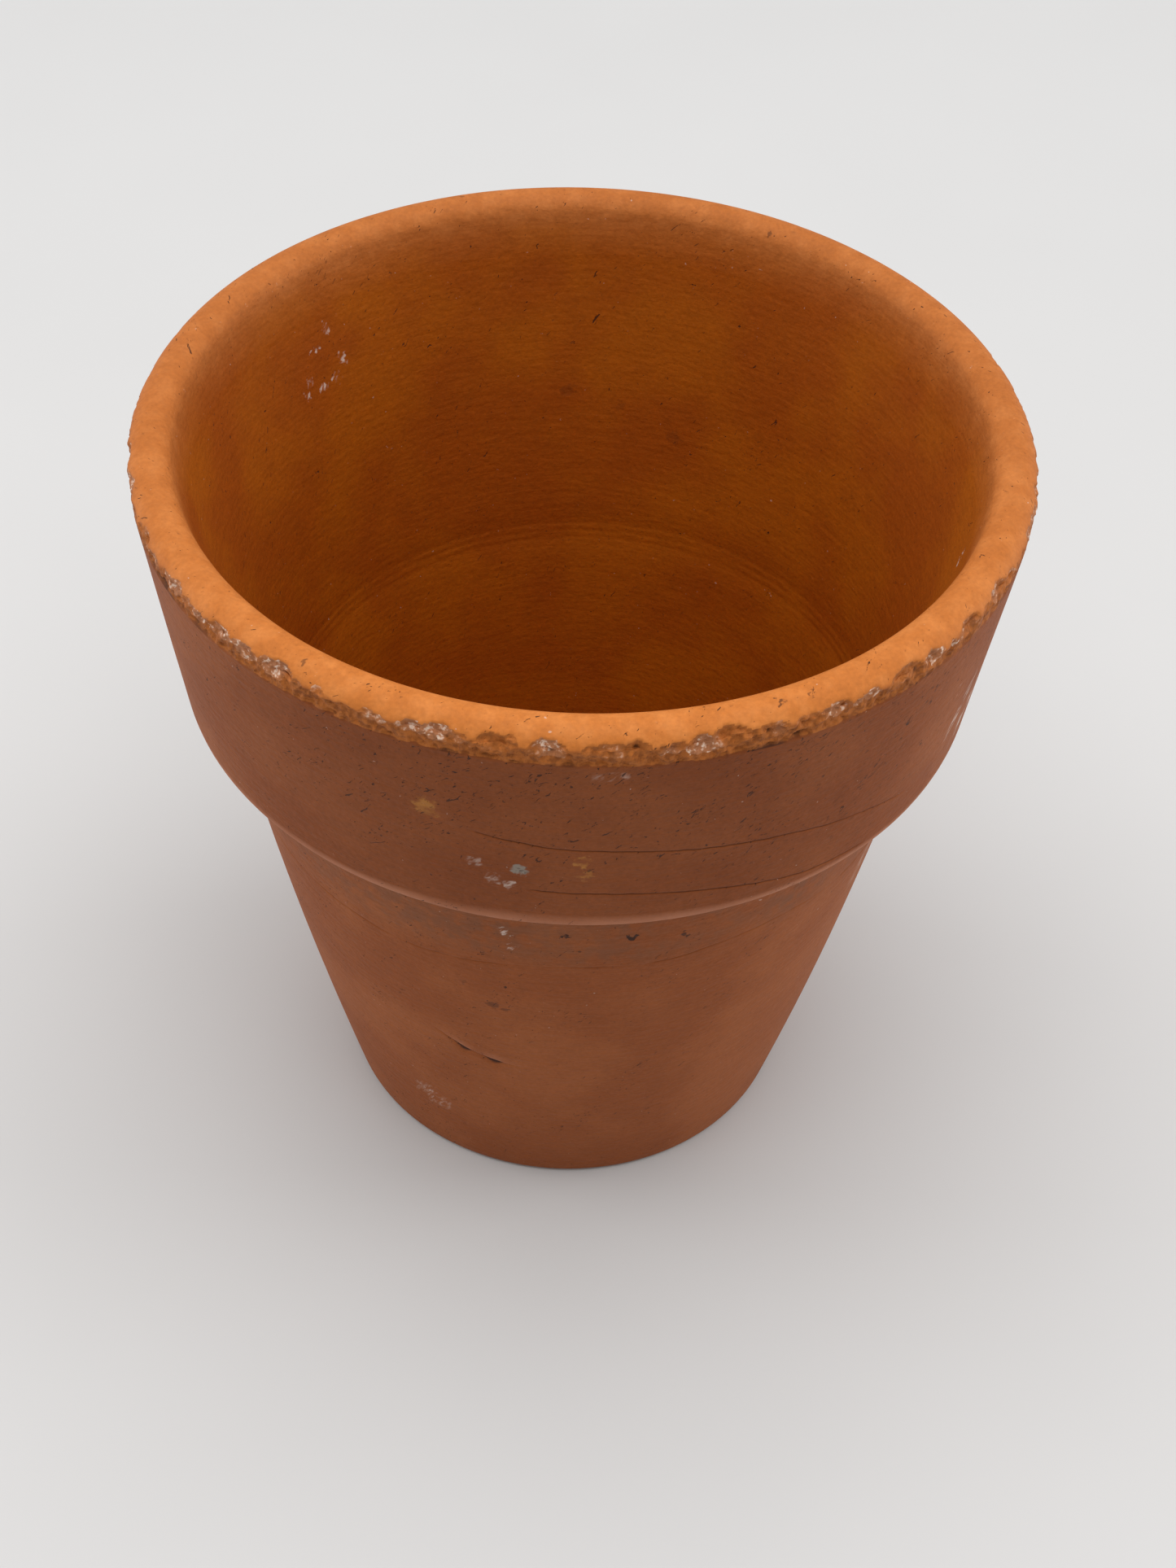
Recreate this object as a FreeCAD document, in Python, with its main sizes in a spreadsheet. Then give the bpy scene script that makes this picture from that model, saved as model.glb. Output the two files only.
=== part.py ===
"""Terracotta flower pot with a thick rim band: one piece of fired clay.

The document holds one PartDesign body, "pot". Its half section is a sketch bound to the
spreadsheet "dimensions", in millimetres, and so are the drain hole and the rounded edges.

Frame: +Z up along the pot's own axis, origin at the centre of the underside, so that
z = 0 is the face that the pot stands on.
"""

import FreeCAD
import Part
import os

import Sketcher

DIMENSIONS = {
    # Overall size
    "pot_height": 139.0,
    "rim_radius": 70.0,  # outer edge of the lip, the widest place
    "foot_radius": 41.0,
    # Rim band, the thick collar round the top
    "band_depth": 44.0,  # from the crest of the lip to the band's lower face
    "band_foot_radius": 65.0,
    "neck_radius": 59.0,  # the wall just under the band
    # Lip, a rounded crest between its outer edge and the mouth
    "crest_radius": 66.2,  # where the lip is highest
    "edge_drop": 2.8,  # from the crest down to the outer edge
    "mouth_radius": 62.8,
    "mouth_drop": 2.6,  # from the crest down to the top of the inner wall
    # Sag of the two wall arcs from their chords
    "wall_swell": 1.1,  # the outside bows out
    "flare_sag": 1.2,  # the inside opens towards the mouth
    # Floor
    "floor_thickness": 8.5,
    "floor_radius": 36.0,
    "drain_radius": 8.0,
    # Rounded edges
    "foot_round": 1.6,
    "band_round": 1.6,
    "neck_round": 1.2,
    "edge_round": 0.9,
    "floor_round": 7.0,
    "drain_round": 0.8,
}

NEAR = 1e-4  # two places closer than this are one place
START, END, CENTRE = 1, 2, 3  # how a sketch numbers the points of a curve
ROOT = -1  # how a sketch numbers its own origin


def make_sheet(doc):
    """Puts the driving dimensions in a spreadsheet, with one alias a cell."""
    sheet = doc.addObject("Spreadsheet::Sheet", "dimensions")
    for row, (name, value) in enumerate(DIMENSIONS.items(), start=1):
        sheet.set(f"A{row}", name)
        sheet.set(f"B{row}", str(value))
        sheet.setAlias(f"B{row}", name)
    doc.recompute()
    return sheet


def cell(name):
    """The way an expression names a cell of the sheet."""
    return f"dimensions.{name}"


def arc_radius(across, up, sag):
    """The radius, as an expression, of an arc over a chord of that width and height."""
    chord_squared = f"(({across}) * ({across}) + ({up}) * ({up}))"
    return f"{chord_squared} / (8 * {sag}) + {sag} / 2"


def attach(body, sketch, role):
    """Lays a sketch on one of its own body's origin planes."""
    plane = next(f for f in body.Origin.OriginFeatures if f.Role == role)
    sketch.AttachmentSupport = [(plane, "")]
    sketch.MapMode = "FlatFace"


def bind(sketch, constraint, name, expression):
    """Adds a constraint of that name, whose value the sheet gives."""
    index = sketch.addConstraint(constraint)
    sketch.renameConstraint(index, name)
    sketch.setExpression(f"Constraints.{name}", expression)


def draw_section(body):
    """Draws the half section: outside, shoulder, band, lip, inside and floor.

    It goes round from the middle of the underside to the axis above the floor. Each corner
    is bound to a radius and a height, and each wall arc to its radius.
    """
    size = DIMENSIONS
    shoulder = size["pot_height"] - size["band_depth"]
    sketch = body.newObject("Sketcher::SketchObject", "section")
    attach(body, sketch, "XZ_Plane")

    # name: (radius, height), each as a number to draw with and an expression to bind to
    height = cell("pot_height")
    shoulder_cell = f"{height} - {cell('band_depth')}"
    corners = {
        "foot": (size["foot_radius"], 0, cell("foot_radius"), None),
        "neck": (size["neck_radius"], shoulder, cell("neck_radius"), shoulder_cell),
        "band_foot": (
            size["band_foot_radius"],
            shoulder,
            cell("band_foot_radius"),
            shoulder_cell,
        ),
        "edge": (
            size["rim_radius"],
            size["pot_height"] - size["edge_drop"],
            cell("rim_radius"),
            f"{height} - {cell('edge_drop')}",
        ),
        "crest": (size["crest_radius"], size["pot_height"], cell("crest_radius"), height),
        "mouth": (
            size["mouth_radius"],
            size["pot_height"] - size["mouth_drop"],
            cell("mouth_radius"),
            f"{height} - {cell('mouth_drop')}",
        ),
        "floor": (
            size["floor_radius"],
            size["floor_thickness"],
            cell("floor_radius"),
            cell("floor_thickness"),
        ),
    }

    def point(name):
        return FreeCAD.Vector(corners[name][0], corners[name][1], 0)

    def line(start, end):
        return sketch.addGeometry(Part.LineSegment(start, end), False), START, END

    def arc(start, end, sag):
        """An arc that bows to the right of the way from start to end, by sag."""
        along = end - start
        right = FreeCAD.Vector(along.y, -along.x, 0).normalize()
        middle = (start + end) / 2 + right * sag
        index = sketch.addGeometry(Part.Arc(start, middle, end), False)
        turned = (sketch.getPoint(index, START) - start).Length > NEAR
        return (index, END, START) if turned else (index, START, END)

    def lip_sag(corner, drop):
        """How far the lip's arc stands off its chord, if it is level at the crest."""
        run = abs(size["crest_radius"] - corners[corner][0])
        radius = (run * run + drop * drop) / (2 * drop)
        return radius - (radius**2 - (run * run + drop * drop) / 4) ** 0.5

    axis_foot = FreeCAD.Vector(0, 0, 0)
    axis_floor = FreeCAD.Vector(0, size["floor_thickness"], 0)
    path = {
        "underside": line(axis_foot, point("foot")),
        "outer_wall": arc(point("foot"), point("neck"), size["wall_swell"]),
        "shoulder": line(point("neck"), point("band_foot")),
        "band": line(point("band_foot"), point("edge")),
        "outer_lip": arc(point("edge"), point("crest"), lip_sag("edge", size["edge_drop"])),
        "inner_lip": arc(point("crest"), point("mouth"), lip_sag("mouth", size["mouth_drop"])),
        "inner_wall": arc(point("mouth"), point("floor"), size["flare_sag"]),
        "floor_face": line(point("floor"), axis_floor),
        "axis": line(axis_floor, axis_foot),
    }

    names = list(path)
    for name, following in zip(names, names[1:] + names[:1]):
        curve, _, end = path[name]
        after, start, _ = path[following]
        joint = Sketcher.Constraint("Coincident", curve, end, after, start)
        sketch.addConstraint(joint)
    foot_line = path["underside"][0]
    axis_line = path["axis"][0]
    sketch.addConstraint(Sketcher.Constraint("Coincident", foot_line, START, ROOT, START))
    sketch.addConstraint(Sketcher.Constraint("Horizontal", foot_line))
    sketch.addConstraint(Sketcher.Constraint("Vertical", axis_line))

    ends = {
        "foot": "underside",
        "neck": "outer_wall",
        "band_foot": "shoulder",
        "edge": "band",
        "crest": "outer_lip",
        "mouth": "inner_lip",
        "floor": "inner_wall",
    }
    for name, curve_name in ends.items():
        across, up, across_cell, up_cell = corners[name]
        curve, _, end = path[curve_name]
        wide = Sketcher.Constraint("DistanceX", ROOT, START, curve, end, across)
        bind(sketch, wide, f"{name}_across", across_cell)
        if up_cell:
            tall = Sketcher.Constraint("DistanceY", ROOT, START, curve, end, up)
            bind(sketch, tall, f"{name}_up", up_cell)
    sketch.addConstraint(Sketcher.Constraint("Horizontal", path["floor_face"][0]))

    for name in ("outer_lip", "inner_lip"):  # level at the crest
        middle = Sketcher.Constraint(
            "DistanceX", ROOT, START, path[name][0], CENTRE, size["crest_radius"]
        )
        bind(sketch, middle, f"{name}_centre", cell("crest_radius"))
    walls = {
        "outer_wall": arc_radius(
            f"{cell('neck_radius')} - {cell('foot_radius')}",
            shoulder_cell,
            cell("wall_swell"),
        ),
        "inner_wall": arc_radius(
            f"{cell('mouth_radius')} - {cell('floor_radius')}",
            f"{height} - {cell('mouth_drop')} - {cell('floor_thickness')}",
            cell("flare_sag"),
        ),
    }
    for name, radius in walls.items():
        curve = path[name][0]
        drawn = Sketcher.Constraint("Radius", curve, sketch.Geometry[curve].Radius)
        bind(sketch, drawn, f"{name}_radius", radius)
    return sketch


def turn_section(doc, body, sketch):
    """Turns the half section about the pot's axis into the whole wall and floor."""
    turned = body.newObject("PartDesign::Revolution", "turned_clay")
    turned.Profile = sketch
    turned.ReferenceAxis = (sketch, ["V_Axis"])
    turned.Angle = 360
    doc.recompute()
    return turned


def cut_drain(doc, body):
    """Cuts the round drain hole up through the middle of the floor."""
    sketch = body.newObject("Sketcher::SketchObject", "drain_circle")
    attach(body, sketch, "XY_Plane")
    radius = DIMENSIONS["drain_radius"]
    ring = Part.Circle(FreeCAD.Vector(0, 0, 0), FreeCAD.Vector(0, 0, 1), radius)
    circle = sketch.addGeometry(ring, False)
    centred = Sketcher.Constraint("Coincident", circle, CENTRE, ROOT, START)
    sketch.addConstraint(centred)
    bind(sketch, Sketcher.Constraint("Radius", circle, radius), "drain", cell("drain_radius"))
    before = body.Shape.Volume
    drain = body.newObject("PartDesign::Pocket", "drain_hole")
    drain.Profile = sketch
    drain.setExpression("Length", f"2 * {cell('floor_thickness')}")
    drain.Reversed = True  # up from the underside, into the clay
    doc.recompute()
    if body.Shape.Volume >= before:
        raise RuntimeError("the drain hole cut nothing")
    return drain


def round_edges(doc, body, name, rings, radius_cell):
    """Rounds the circular edges at those (radius, height) places."""
    base = body.Tip
    wanted = []
    for radius, height in rings:
        for number, edge in enumerate(base.Shape.Edges, start=1):
            curve = edge.Curve
            if (
                isinstance(curve, Part.Circle)
                and abs(curve.Radius - radius) < NEAR
                and abs(curve.Center.z - height) < NEAR
            ):
                wanted.append(f"Edge{number}")
    if len(wanted) != len(rings):
        raise RuntimeError(f"{name}: found {len(wanted)} of {len(rings)} edges")
    rounded = body.newObject("PartDesign::Fillet", name)
    rounded.Base = (base, wanted)
    rounded.setExpression("Radius", cell(radius_cell))
    doc.recompute()
    return rounded


def make_pot(doc):
    """The pot's body: turned section, drain hole and rounded edges."""
    size = DIMENSIONS
    body = doc.addObject("PartDesign::Body", "pot")
    body.Label = "pot"
    turn_section(doc, body, draw_section(body))
    cut_drain(doc, body)
    shoulder = size["pot_height"] - size["band_depth"]
    edge_height = size["pot_height"] - size["edge_drop"]
    drain_rings = [
        (size["drain_radius"], 0),
        (size["drain_radius"], size["floor_thickness"]),
    ]
    rounds = {
        "foot_round": [(size["foot_radius"], 0)],
        "band_round": [(size["band_foot_radius"], shoulder)],
        "neck_round": [(size["neck_radius"], shoulder)],
        "edge_round": [(size["rim_radius"], edge_height)],
        "floor_round": [(size["floor_radius"], size["floor_thickness"])],
        "drain_round": drain_rings,
    }
    for name, rings in rounds.items():
        round_edges(doc, body, f"{name}ed", rings, name)
    return body


def check(doc, bodies):
    """Stops if an object failed, or a body's shape isn't one valid closed solid."""
    for thing in doc.Objects:
        if {"Invalid", "Error"} & set(thing.State):
            raise RuntimeError(f"{thing.Name} failed: {thing.State}")
    for body in bodies:
        shape = body.Shape
        if shape.isNull() or not shape.isValid() or len(shape.Solids) != 1:
            raise RuntimeError(f"{body.Label} isn't one valid solid")


def main():
    """Builds the document, checks it and writes one STEP file for each body."""
    doc = FreeCAD.newDocument("terracotta_pot")
    make_sheet(doc)
    bodies = [make_pot(doc)]
    doc.recompute()
    check(doc, bodies)
    os.makedirs("parts", exist_ok=True)
    for body in bodies:
        body.Shape.exportStep(os.path.join("parts", f"{body.Label}.step"))
        box = body.Shape.optimalBoundingBox(True, False)
        litres = body.Shape.Volume / 1e6
        print(f"{body.Label}: {box.XLength:.2f} x {box.YLength:.2f} x {box.ZLength:.2f} mm")
        print(f"{body.Label}: {litres:.4f} litres of clay, {len(body.Shape.Faces)} faces")


main()
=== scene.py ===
"""The looks of a terracotta flower pot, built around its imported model.

The pot is one piece of fired clay, so it is one closed surface: the half section is walked round,
from the drain hole out along the underside, up the wall and the rim band, over the lip, down the
inside and back through the drain hole, and each step of that walk is a row of points round the
pot's axis. Wear is then cut into that surface, always inwards, and the same wear tells the finish
where the clay is broken, stained or salted.

Frame: metres, +Z up along the pot's axis, z = 0 under the foot. A bearing is the angle round the
axis from -Y, the front, towards +X, the right.
"""

from __future__ import annotations

import itertools
import logging
import math
from dataclasses import dataclass, field
from enum import Enum
from typing import Iterable, Protocol, Union

import bpy
import numpy as np
from mathutils import Matrix, Vector


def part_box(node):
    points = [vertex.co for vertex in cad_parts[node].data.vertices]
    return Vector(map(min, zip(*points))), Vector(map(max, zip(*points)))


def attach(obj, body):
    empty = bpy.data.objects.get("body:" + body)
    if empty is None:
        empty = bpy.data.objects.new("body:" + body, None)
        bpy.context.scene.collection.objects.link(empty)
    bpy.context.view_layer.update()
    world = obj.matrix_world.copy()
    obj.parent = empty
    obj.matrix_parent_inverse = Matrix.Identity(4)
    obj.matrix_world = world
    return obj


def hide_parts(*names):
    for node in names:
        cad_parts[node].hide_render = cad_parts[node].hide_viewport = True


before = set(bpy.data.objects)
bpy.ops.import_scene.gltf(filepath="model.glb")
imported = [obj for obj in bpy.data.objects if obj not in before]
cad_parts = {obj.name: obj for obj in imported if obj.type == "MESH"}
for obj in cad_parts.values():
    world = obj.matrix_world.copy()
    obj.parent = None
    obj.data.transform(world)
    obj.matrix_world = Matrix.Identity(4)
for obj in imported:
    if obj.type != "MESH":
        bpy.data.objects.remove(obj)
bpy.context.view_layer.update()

log = logging.getLogger("flower_pot")

MM = 0.001
CAD_NODE = "pot"
BODY = "root"
TURN = 2 * math.pi
GRAIN = "grain"


class Side(Enum):
    """The sides of the half section, in the order that they are walked."""

    UNDERSIDE = 0
    WALL = 1
    SHOULDER = 2
    BAND = 3
    OUTER_LIP = 4
    INNER_LIP = 5
    INSIDE = 6
    FLOOR = 7
    DRAIN = 8


class Ring(Enum):
    """How many columns go round the pot. Each count is twice the one before it."""

    COARSE = 256
    MIDDLE = 512
    FINE = 1024


class Mask(Enum):
    """What the finish is told about each point, from 0 to 1."""

    LIP = "lip"
    INNER = "inner"
    BROKEN = "broken"
    CRUMBLED = "crumbled"
    DARK = "dark"
    STAIN = "stain"
    SALT = "salt"
    OCHRE = "ochre"
    POROUS = "porous"
    PAINTED_FRONT_SHADE = "painted_front_shade"
    EDGE_DUST_AND_HIGHLIGHT = "edge_dust_and_highlight"
    SCUFF = "scuff"


def add_object(name: str, data: bpy.types.ID) -> bpy.types.Object:
    """Puts an object with that name and data into the scene."""
    added = bpy.data.objects.new(name, data)
    bpy.context.scene.collection.objects.link(added)
    return added


# ---------------------------------------------------------------- numbers and noise


def smooth_step(low: float, high: float, value: np.ndarray) -> np.ndarray:
    """Eases from 0 at low to 1 at high, as 3t² - 2t³.

    Args:
        low: Where the result is 0; it may be above high, and then the step falls.
        high: Where the result is 1.
        value: What is eased.

    Returns:
        The eased values.
    """
    share = np.clip((value - low) / (high - low), 0.0, 1.0)
    return share * share * (3.0 - 2.0 * share)


def turn_from(middle: float | np.ndarray, bearing: np.ndarray) -> np.ndarray:
    """The angle from a middle round to each bearing, at most half a turn either way."""
    return (bearing - middle + math.pi) % TURN - math.pi


def clay_noise(points: np.ndarray, size: float, seed: int) -> np.ndarray:
    """Smooth noise from -1 to 1 with lumps of about that size.

    Space is cut into cubes of that size. Each corner of a cube gets a value hashed from its
    three whole numbers, and inside a cube the eight values are blended along each axis in turn,
    with the share along an axis eased as 3t² - 2t³.

    Args:
        points: Places in metres, one a row.
        size: The cube's side in metres.
        seed: A whole number that picks one noise of many.

    Returns:
        One value for each place.
    """
    scaled = points / size + 100.0
    cell = np.floor(scaled).astype(np.int64)
    part = scaled - cell
    ease = part * part * (3.0 - 2.0 * part)
    total = np.zeros(len(points))
    for corner in itertools.product((0, 1), repeat=3):
        step = cell + np.array(corner)
        key = step[:, 0] * 73856093 ^ step[:, 1] * 19349663 ^ step[:, 2] * 83492791
        key = (key + seed * 2654435761) & 0xFFFFFFFF
        key = ((key ^ key >> 15) * 2246822519) & 0xFFFFFFFF
        key = ((key ^ key >> 13) * 3266489917) & 0xFFFFFFFF
        value = (key >> 8 & 0xFFFF) / 0x7FFF - 1.0
        weight = np.where(corner, ease, 1.0 - ease).prod(axis=1)
        total += weight * value
    return total


def layered_noise(points: np.ndarray, size: float, seed: int, layers: int = 3) -> np.ndarray:
    """Sums several noises, each of half the size and half the height of the one before.

    Args:
        points: Places in metres, one a row.
        size: The lumps of the first noise, in metres.
        seed: A whole number that picks one noise of many.
        layers: How many noises are summed.

    Returns:
        One value for each place, from about -1 to 1.
    """
    parts = (clay_noise(points, size / 2**i, seed + i) / 2**i for i in range(layers))
    return sum(parts) / (2.0 - 0.5 ** (layers - 1))


def arc_points(start: np.ndarray, end: np.ndarray, sag: float, count: int) -> np.ndarray:
    """Points along the arc of a circle that bows to the right of the way from start to end.

    With half chord c and sag g, the circle's radius is (c² + g²) / 2g, and a point at angle t
    from the arc's middle is radius · sin t along the chord and radius · cos t - radius + g off
    it.

    Args:
        start: First point.
        end: Last point.
        sag: How far the arc's middle stands off its chord; 0 gives a straight line.
        count: How many points.

    Returns:
        The points, evenly spaced, one a row.
    """
    chord = end - start
    length = float(np.hypot(*chord))
    along = chord / length
    right = np.array([along[1], -along[0]])
    share = np.linspace(-1.0, 1.0, count)[:, None]
    middle = (start + end) / 2
    if abs(sag) < 1e-9:
        return middle + along * share * length / 2
    half = length / 2
    radius = (half * half + sag * sag) / (2 * sag)
    angle = 2 * math.atan(sag / half) * share
    return middle + along * radius * np.sin(angle) + right * (radius * np.cos(angle) - radius + sag)


# ---------------------------------------------------------------- the half section


@dataclass(frozen=True)
class Trace:
    """The half section as closely spaced points, with the corners rounded.

    Attributes:
        along: Distance walked to each point.
        radius: Distance of each point from the pot's axis.
        height: Height of each point.
        out_radial: Radial part of the outward direction at each point.
        out_up: Upward part of the outward direction at each point.
        bend: How sharply the outline turns at each point, in radians a metre.
        spans: Where each side starts and ends along the walk, between its rounded corners.
        length: The whole way round.
    """

    along: np.ndarray
    radius: np.ndarray
    height: np.ndarray
    out_radial: np.ndarray
    out_up: np.ndarray
    bend: np.ndarray
    spans: dict[Side, tuple[float, float]]
    length: float

    def at(self, along: np.ndarray) -> tuple[np.ndarray, np.ndarray, np.ndarray, np.ndarray]:
        """Reads radius, height and the outward direction at places along the walk."""
        columns = (self.radius, self.height, self.out_radial, self.out_up)
        radius, height, radial, up = (np.interp(along, self.along, c) for c in columns)
        size = np.hypot(radial, up)
        return radius, height, radial / size, up / size

    def along_at(self, side: Side, height: np.ndarray) -> np.ndarray:
        """Finds where a side that climbs or falls all the way is at those heights."""
        start, end = self.spans[side]
        inside = (self.along >= start) & (self.along <= end)
        up, way = self.height[inside], self.along[inside]
        order = np.argsort(up)
        return np.interp(height, up[order], way[order])

    def corner(self, after: Side) -> float:
        """The middle of the rounded corner that follows a side."""
        following = Side(after.value + 1)
        return (self.spans[after][1] + self.spans[following][0]) / 2


@dataclass(frozen=True)
class Section:
    """Half section of the pot's clay, in metres.

    Radii are from the axis, drops are down from the top of the lip, and a round is the radius
    that a corner is rounded to. The band's depth is from the top of the pot to its shoulder, and
    the step is the gap between the outline's points.
    """

    height: float
    rim_radius: float
    foot_radius: float = 41.0 * MM
    neck_radius: float = 59.0 * MM
    band_foot_radius: float = 65.0 * MM
    band_depth: float = 44.0 * MM
    crest_radius: float = 66.2 * MM
    edge_drop: float = 2.8 * MM
    mouth_radius: float = 62.8 * MM
    mouth_drop: float = 2.6 * MM
    wall_swell: float = 1.1 * MM
    flare_sag: float = 1.2 * MM
    floor_thickness: float = 8.5 * MM
    floor_radius: float = 36.0 * MM
    drain_radius: float = 8.0 * MM
    foot_round: float = 1.6 * MM
    band_round: float = 1.6 * MM
    neck_round: float = 1.2 * MM
    edge_round: float = 0.9 * MM
    mouth_round: float = 2.6 * MM
    floor_round: float = 7.0 * MM
    drain_round: float = 0.9 * MM
    step: float = 0.02 * MM

    def lip_sag(self, radius: float, drop: float) -> float:
        """The sag of a lip arc that is level at the crest and ends that far out and down."""
        run = abs(self.crest_radius - radius)
        half_chord = math.hypot(run, drop) / 2
        lip_radius = 2 * half_chord**2 / drop
        return lip_radius - math.sqrt(lip_radius**2 - half_chord**2)

    def corners(self) -> list[tuple[float, float, float, float]]:
        """Lists each corner's radius and height, its rounding, and the sag of the side after it."""
        shoulder = self.height - self.band_depth
        edge = self.height - self.edge_drop
        mouth = self.height - self.mouth_drop
        outer = self.lip_sag(self.rim_radius, self.edge_drop)
        inner = self.lip_sag(self.mouth_radius, self.mouth_drop)
        return [
            (self.drain_radius, 0.0, self.drain_round, 0.0),
            (self.foot_radius, 0.0, self.foot_round, self.wall_swell),
            (self.neck_radius, shoulder, self.neck_round, 0.0),
            (self.band_foot_radius, shoulder, self.band_round, 0.0),
            (self.rim_radius, edge, self.edge_round, outer),
            (self.crest_radius, self.height, 0.0, inner),
            (self.mouth_radius, mouth, self.mouth_round, self.flare_sag),
            (self.floor_radius, self.floor_thickness, self.floor_round, 0.0),
            (self.drain_radius, self.floor_thickness, self.drain_round, 0.0),
        ]

    def trace(self) -> Trace:
        """Walks the half section and rounds its corners.

        A side leaves its corner turned from its chord by its half angle, 2·atan(sag / half
        chord), and reaches the next one turned the other way. A corner of turn a, rounded to
        radius r, takes r · tan(a / 2) from both sides, and its arc's sag is half its chord
        times tan(a / 4).

        Returns:
            The rounded outline.
        """
        corners = self.corners()
        points = np.array([corner[:2] for corner in corners])
        rounds = np.array([corner[2] for corner in corners])
        sags = np.array([corner[3] for corner in corners])
        chords = np.roll(points, -1, axis=0) - points
        lengths = np.hypot(chords[:, 0], chords[:, 1])
        heading = np.arctan2(chords[:, 1], chords[:, 0])
        half_angle = 2 * np.arctan2(sags, lengths / 2)
        leaving = heading - half_angle
        arriving = np.roll(heading + half_angle, 1)
        turns = turn_from(arriving, leaving)
        taken = rounds * np.tan(np.abs(turns) / 2)

        pieces: list[tuple[Side, np.ndarray, float]] = []
        for side in Side:
            i, after = side.value, (side.value + 1) % len(Side)
            full = arc_points(points[i], points[after], sags[i], self.count(lengths[i]))
            walked = np.linspace(0.0, lengths[i], len(full))
            keep = np.linspace(taken[i], lengths[i] - taken[after], len(full))
            kept = np.stack([np.interp(keep, walked, full[:, c]) for c in (0, 1)], axis=1)
            pieces.append((side, kept, 2 * half_angle[i] / lengths[i]))

        outline, bends, spans, walked_before = [], [], {}, 0.0
        for i, (side, kept, bend) in enumerate(pieces):
            reach = float(np.hypot(*np.diff(kept, axis=0).T).sum())
            spans[side] = (walked_before, walked_before + reach)
            walked_before += reach
            outline.append(kept[:-1])
            bends.append(np.full(len(kept) - 1, bend))
            after = (i + 1) % len(pieces)
            following = pieces[after][1][0]
            gap = float(np.hypot(*(following - kept[-1])))
            if gap > self.step:
                sag = gap / 2 * math.tan(turns[after] / 4)
                corner = arc_points(kept[-1], following, sag, self.count(gap))
                outline.append(corner[:-1])
                bends.append(np.full(len(corner) - 1, 1 / rounds[after]))
                walked_before += float(np.hypot(*np.diff(corner, axis=0).T).sum())
        outline.append(pieces[0][1][:1])
        bends.append(bends[0][:1])
        line = np.concatenate(outline)
        steps = np.hypot(*np.diff(line, axis=0).T)
        along = np.concatenate([[0.0], np.cumsum(steps)])
        d_radius, d_height = (np.gradient(line[:, c], along) for c in (0, 1))
        return Trace(
            along=along,
            radius=line[:, 0],
            height=line[:, 1],
            out_radial=d_height,
            out_up=-d_radius,
            bend=np.abs(np.concatenate(bends)),
            spans=spans,
            length=float(along[-1]),
        )

    def count(self, length: float) -> int:
        """How many points a stretch of that length gets."""
        return max(12, round(length / self.step))


# ---------------------------------------------------------------- the surface


@dataclass(frozen=True)
class Guide:
    """A line round the clay that one row of points follows, so that it stays crisp.

    Attributes:
        side: The side that it lies on.
        path: Its (bearing in degrees, height in millimetres) points, from left to right.
        offsets: How far from it the rows beside it lie, in millimetres.
        wander: How far it strays from its path, in millimetres.
        ease: How many degrees past its ends its row goes back to its resting height.
        sway: Length of its slow bends, as an angle in radians.
        quiver: Length of its quick ones.
    """

    side: Side
    path: tuple[tuple[float, float], ...]
    offsets: tuple[float, ...] = (-0.5, -0.17, 0.0, 0.17, 0.5)
    wander: float = 0.25
    ease: float = 25.0
    sway: float = 0.09
    quiver: float = 0.028

    @property
    def rest(self) -> float:
        """The height that its row has where the line isn't, in metres."""
        return float(np.mean([height for _, height in self.path])) * MM

    def height_at(self, bearing: np.ndarray) -> np.ndarray:
        """Reads the line's height, in metres, at those bearings, in radians."""
        bearings, heights = np.array(self.path).T
        degrees = np.degrees(bearing)
        if bearings[0] > -180.0:
            bearings = np.pad(bearings, 1, constant_values=0.0)
            bearings[[0, -1]] = bearings[1] - self.ease, bearings[-2] + self.ease
            heights = np.pad(heights, 1, constant_values=self.rest / MM)
        height = np.interp(degrees, bearings, heights) * MM
        seed = round(self.rest / MM)
        strays = layered_noise(self.circle(bearing), self.sway, seed, layers=4)
        strays += 0.6 * layered_noise(self.circle(bearing), self.quiver, seed + 9, layers=2)
        return height + self.wander * MM * strays

    def circle(self, bearing: np.ndarray) -> np.ndarray:
        """Places round a circle of radius 1, for noise that runs along the line."""
        up = np.full_like(bearing, self.rest)
        return np.stack([np.sin(bearing), np.cos(bearing), up], axis=1)

    def openness(self, bearing: np.ndarray, taper: float = 3.0) -> np.ndarray:
        """Fades the line in and out over a few degrees at its two ends, from 0 to 1."""
        degrees = np.degrees(bearing)
        first, last = self.path[0][0], self.path[-1][0]
        if first <= -180.0:
            return np.ones_like(bearing)
        return smooth_step(first, first + taper, degrees) * smooth_step(last, last - taper, degrees)


@dataclass(frozen=True)
class Course:
    """A run of rows with the same number of columns.

    Attributes:
        start: Where along the walk it starts.
        end: Where it ends, which is where the next one starts.
        ring: How many columns go round.
        spacing: The widest gap between its rows, in metres.
    """

    start: float
    end: float
    ring: Ring
    spacing: float


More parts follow.
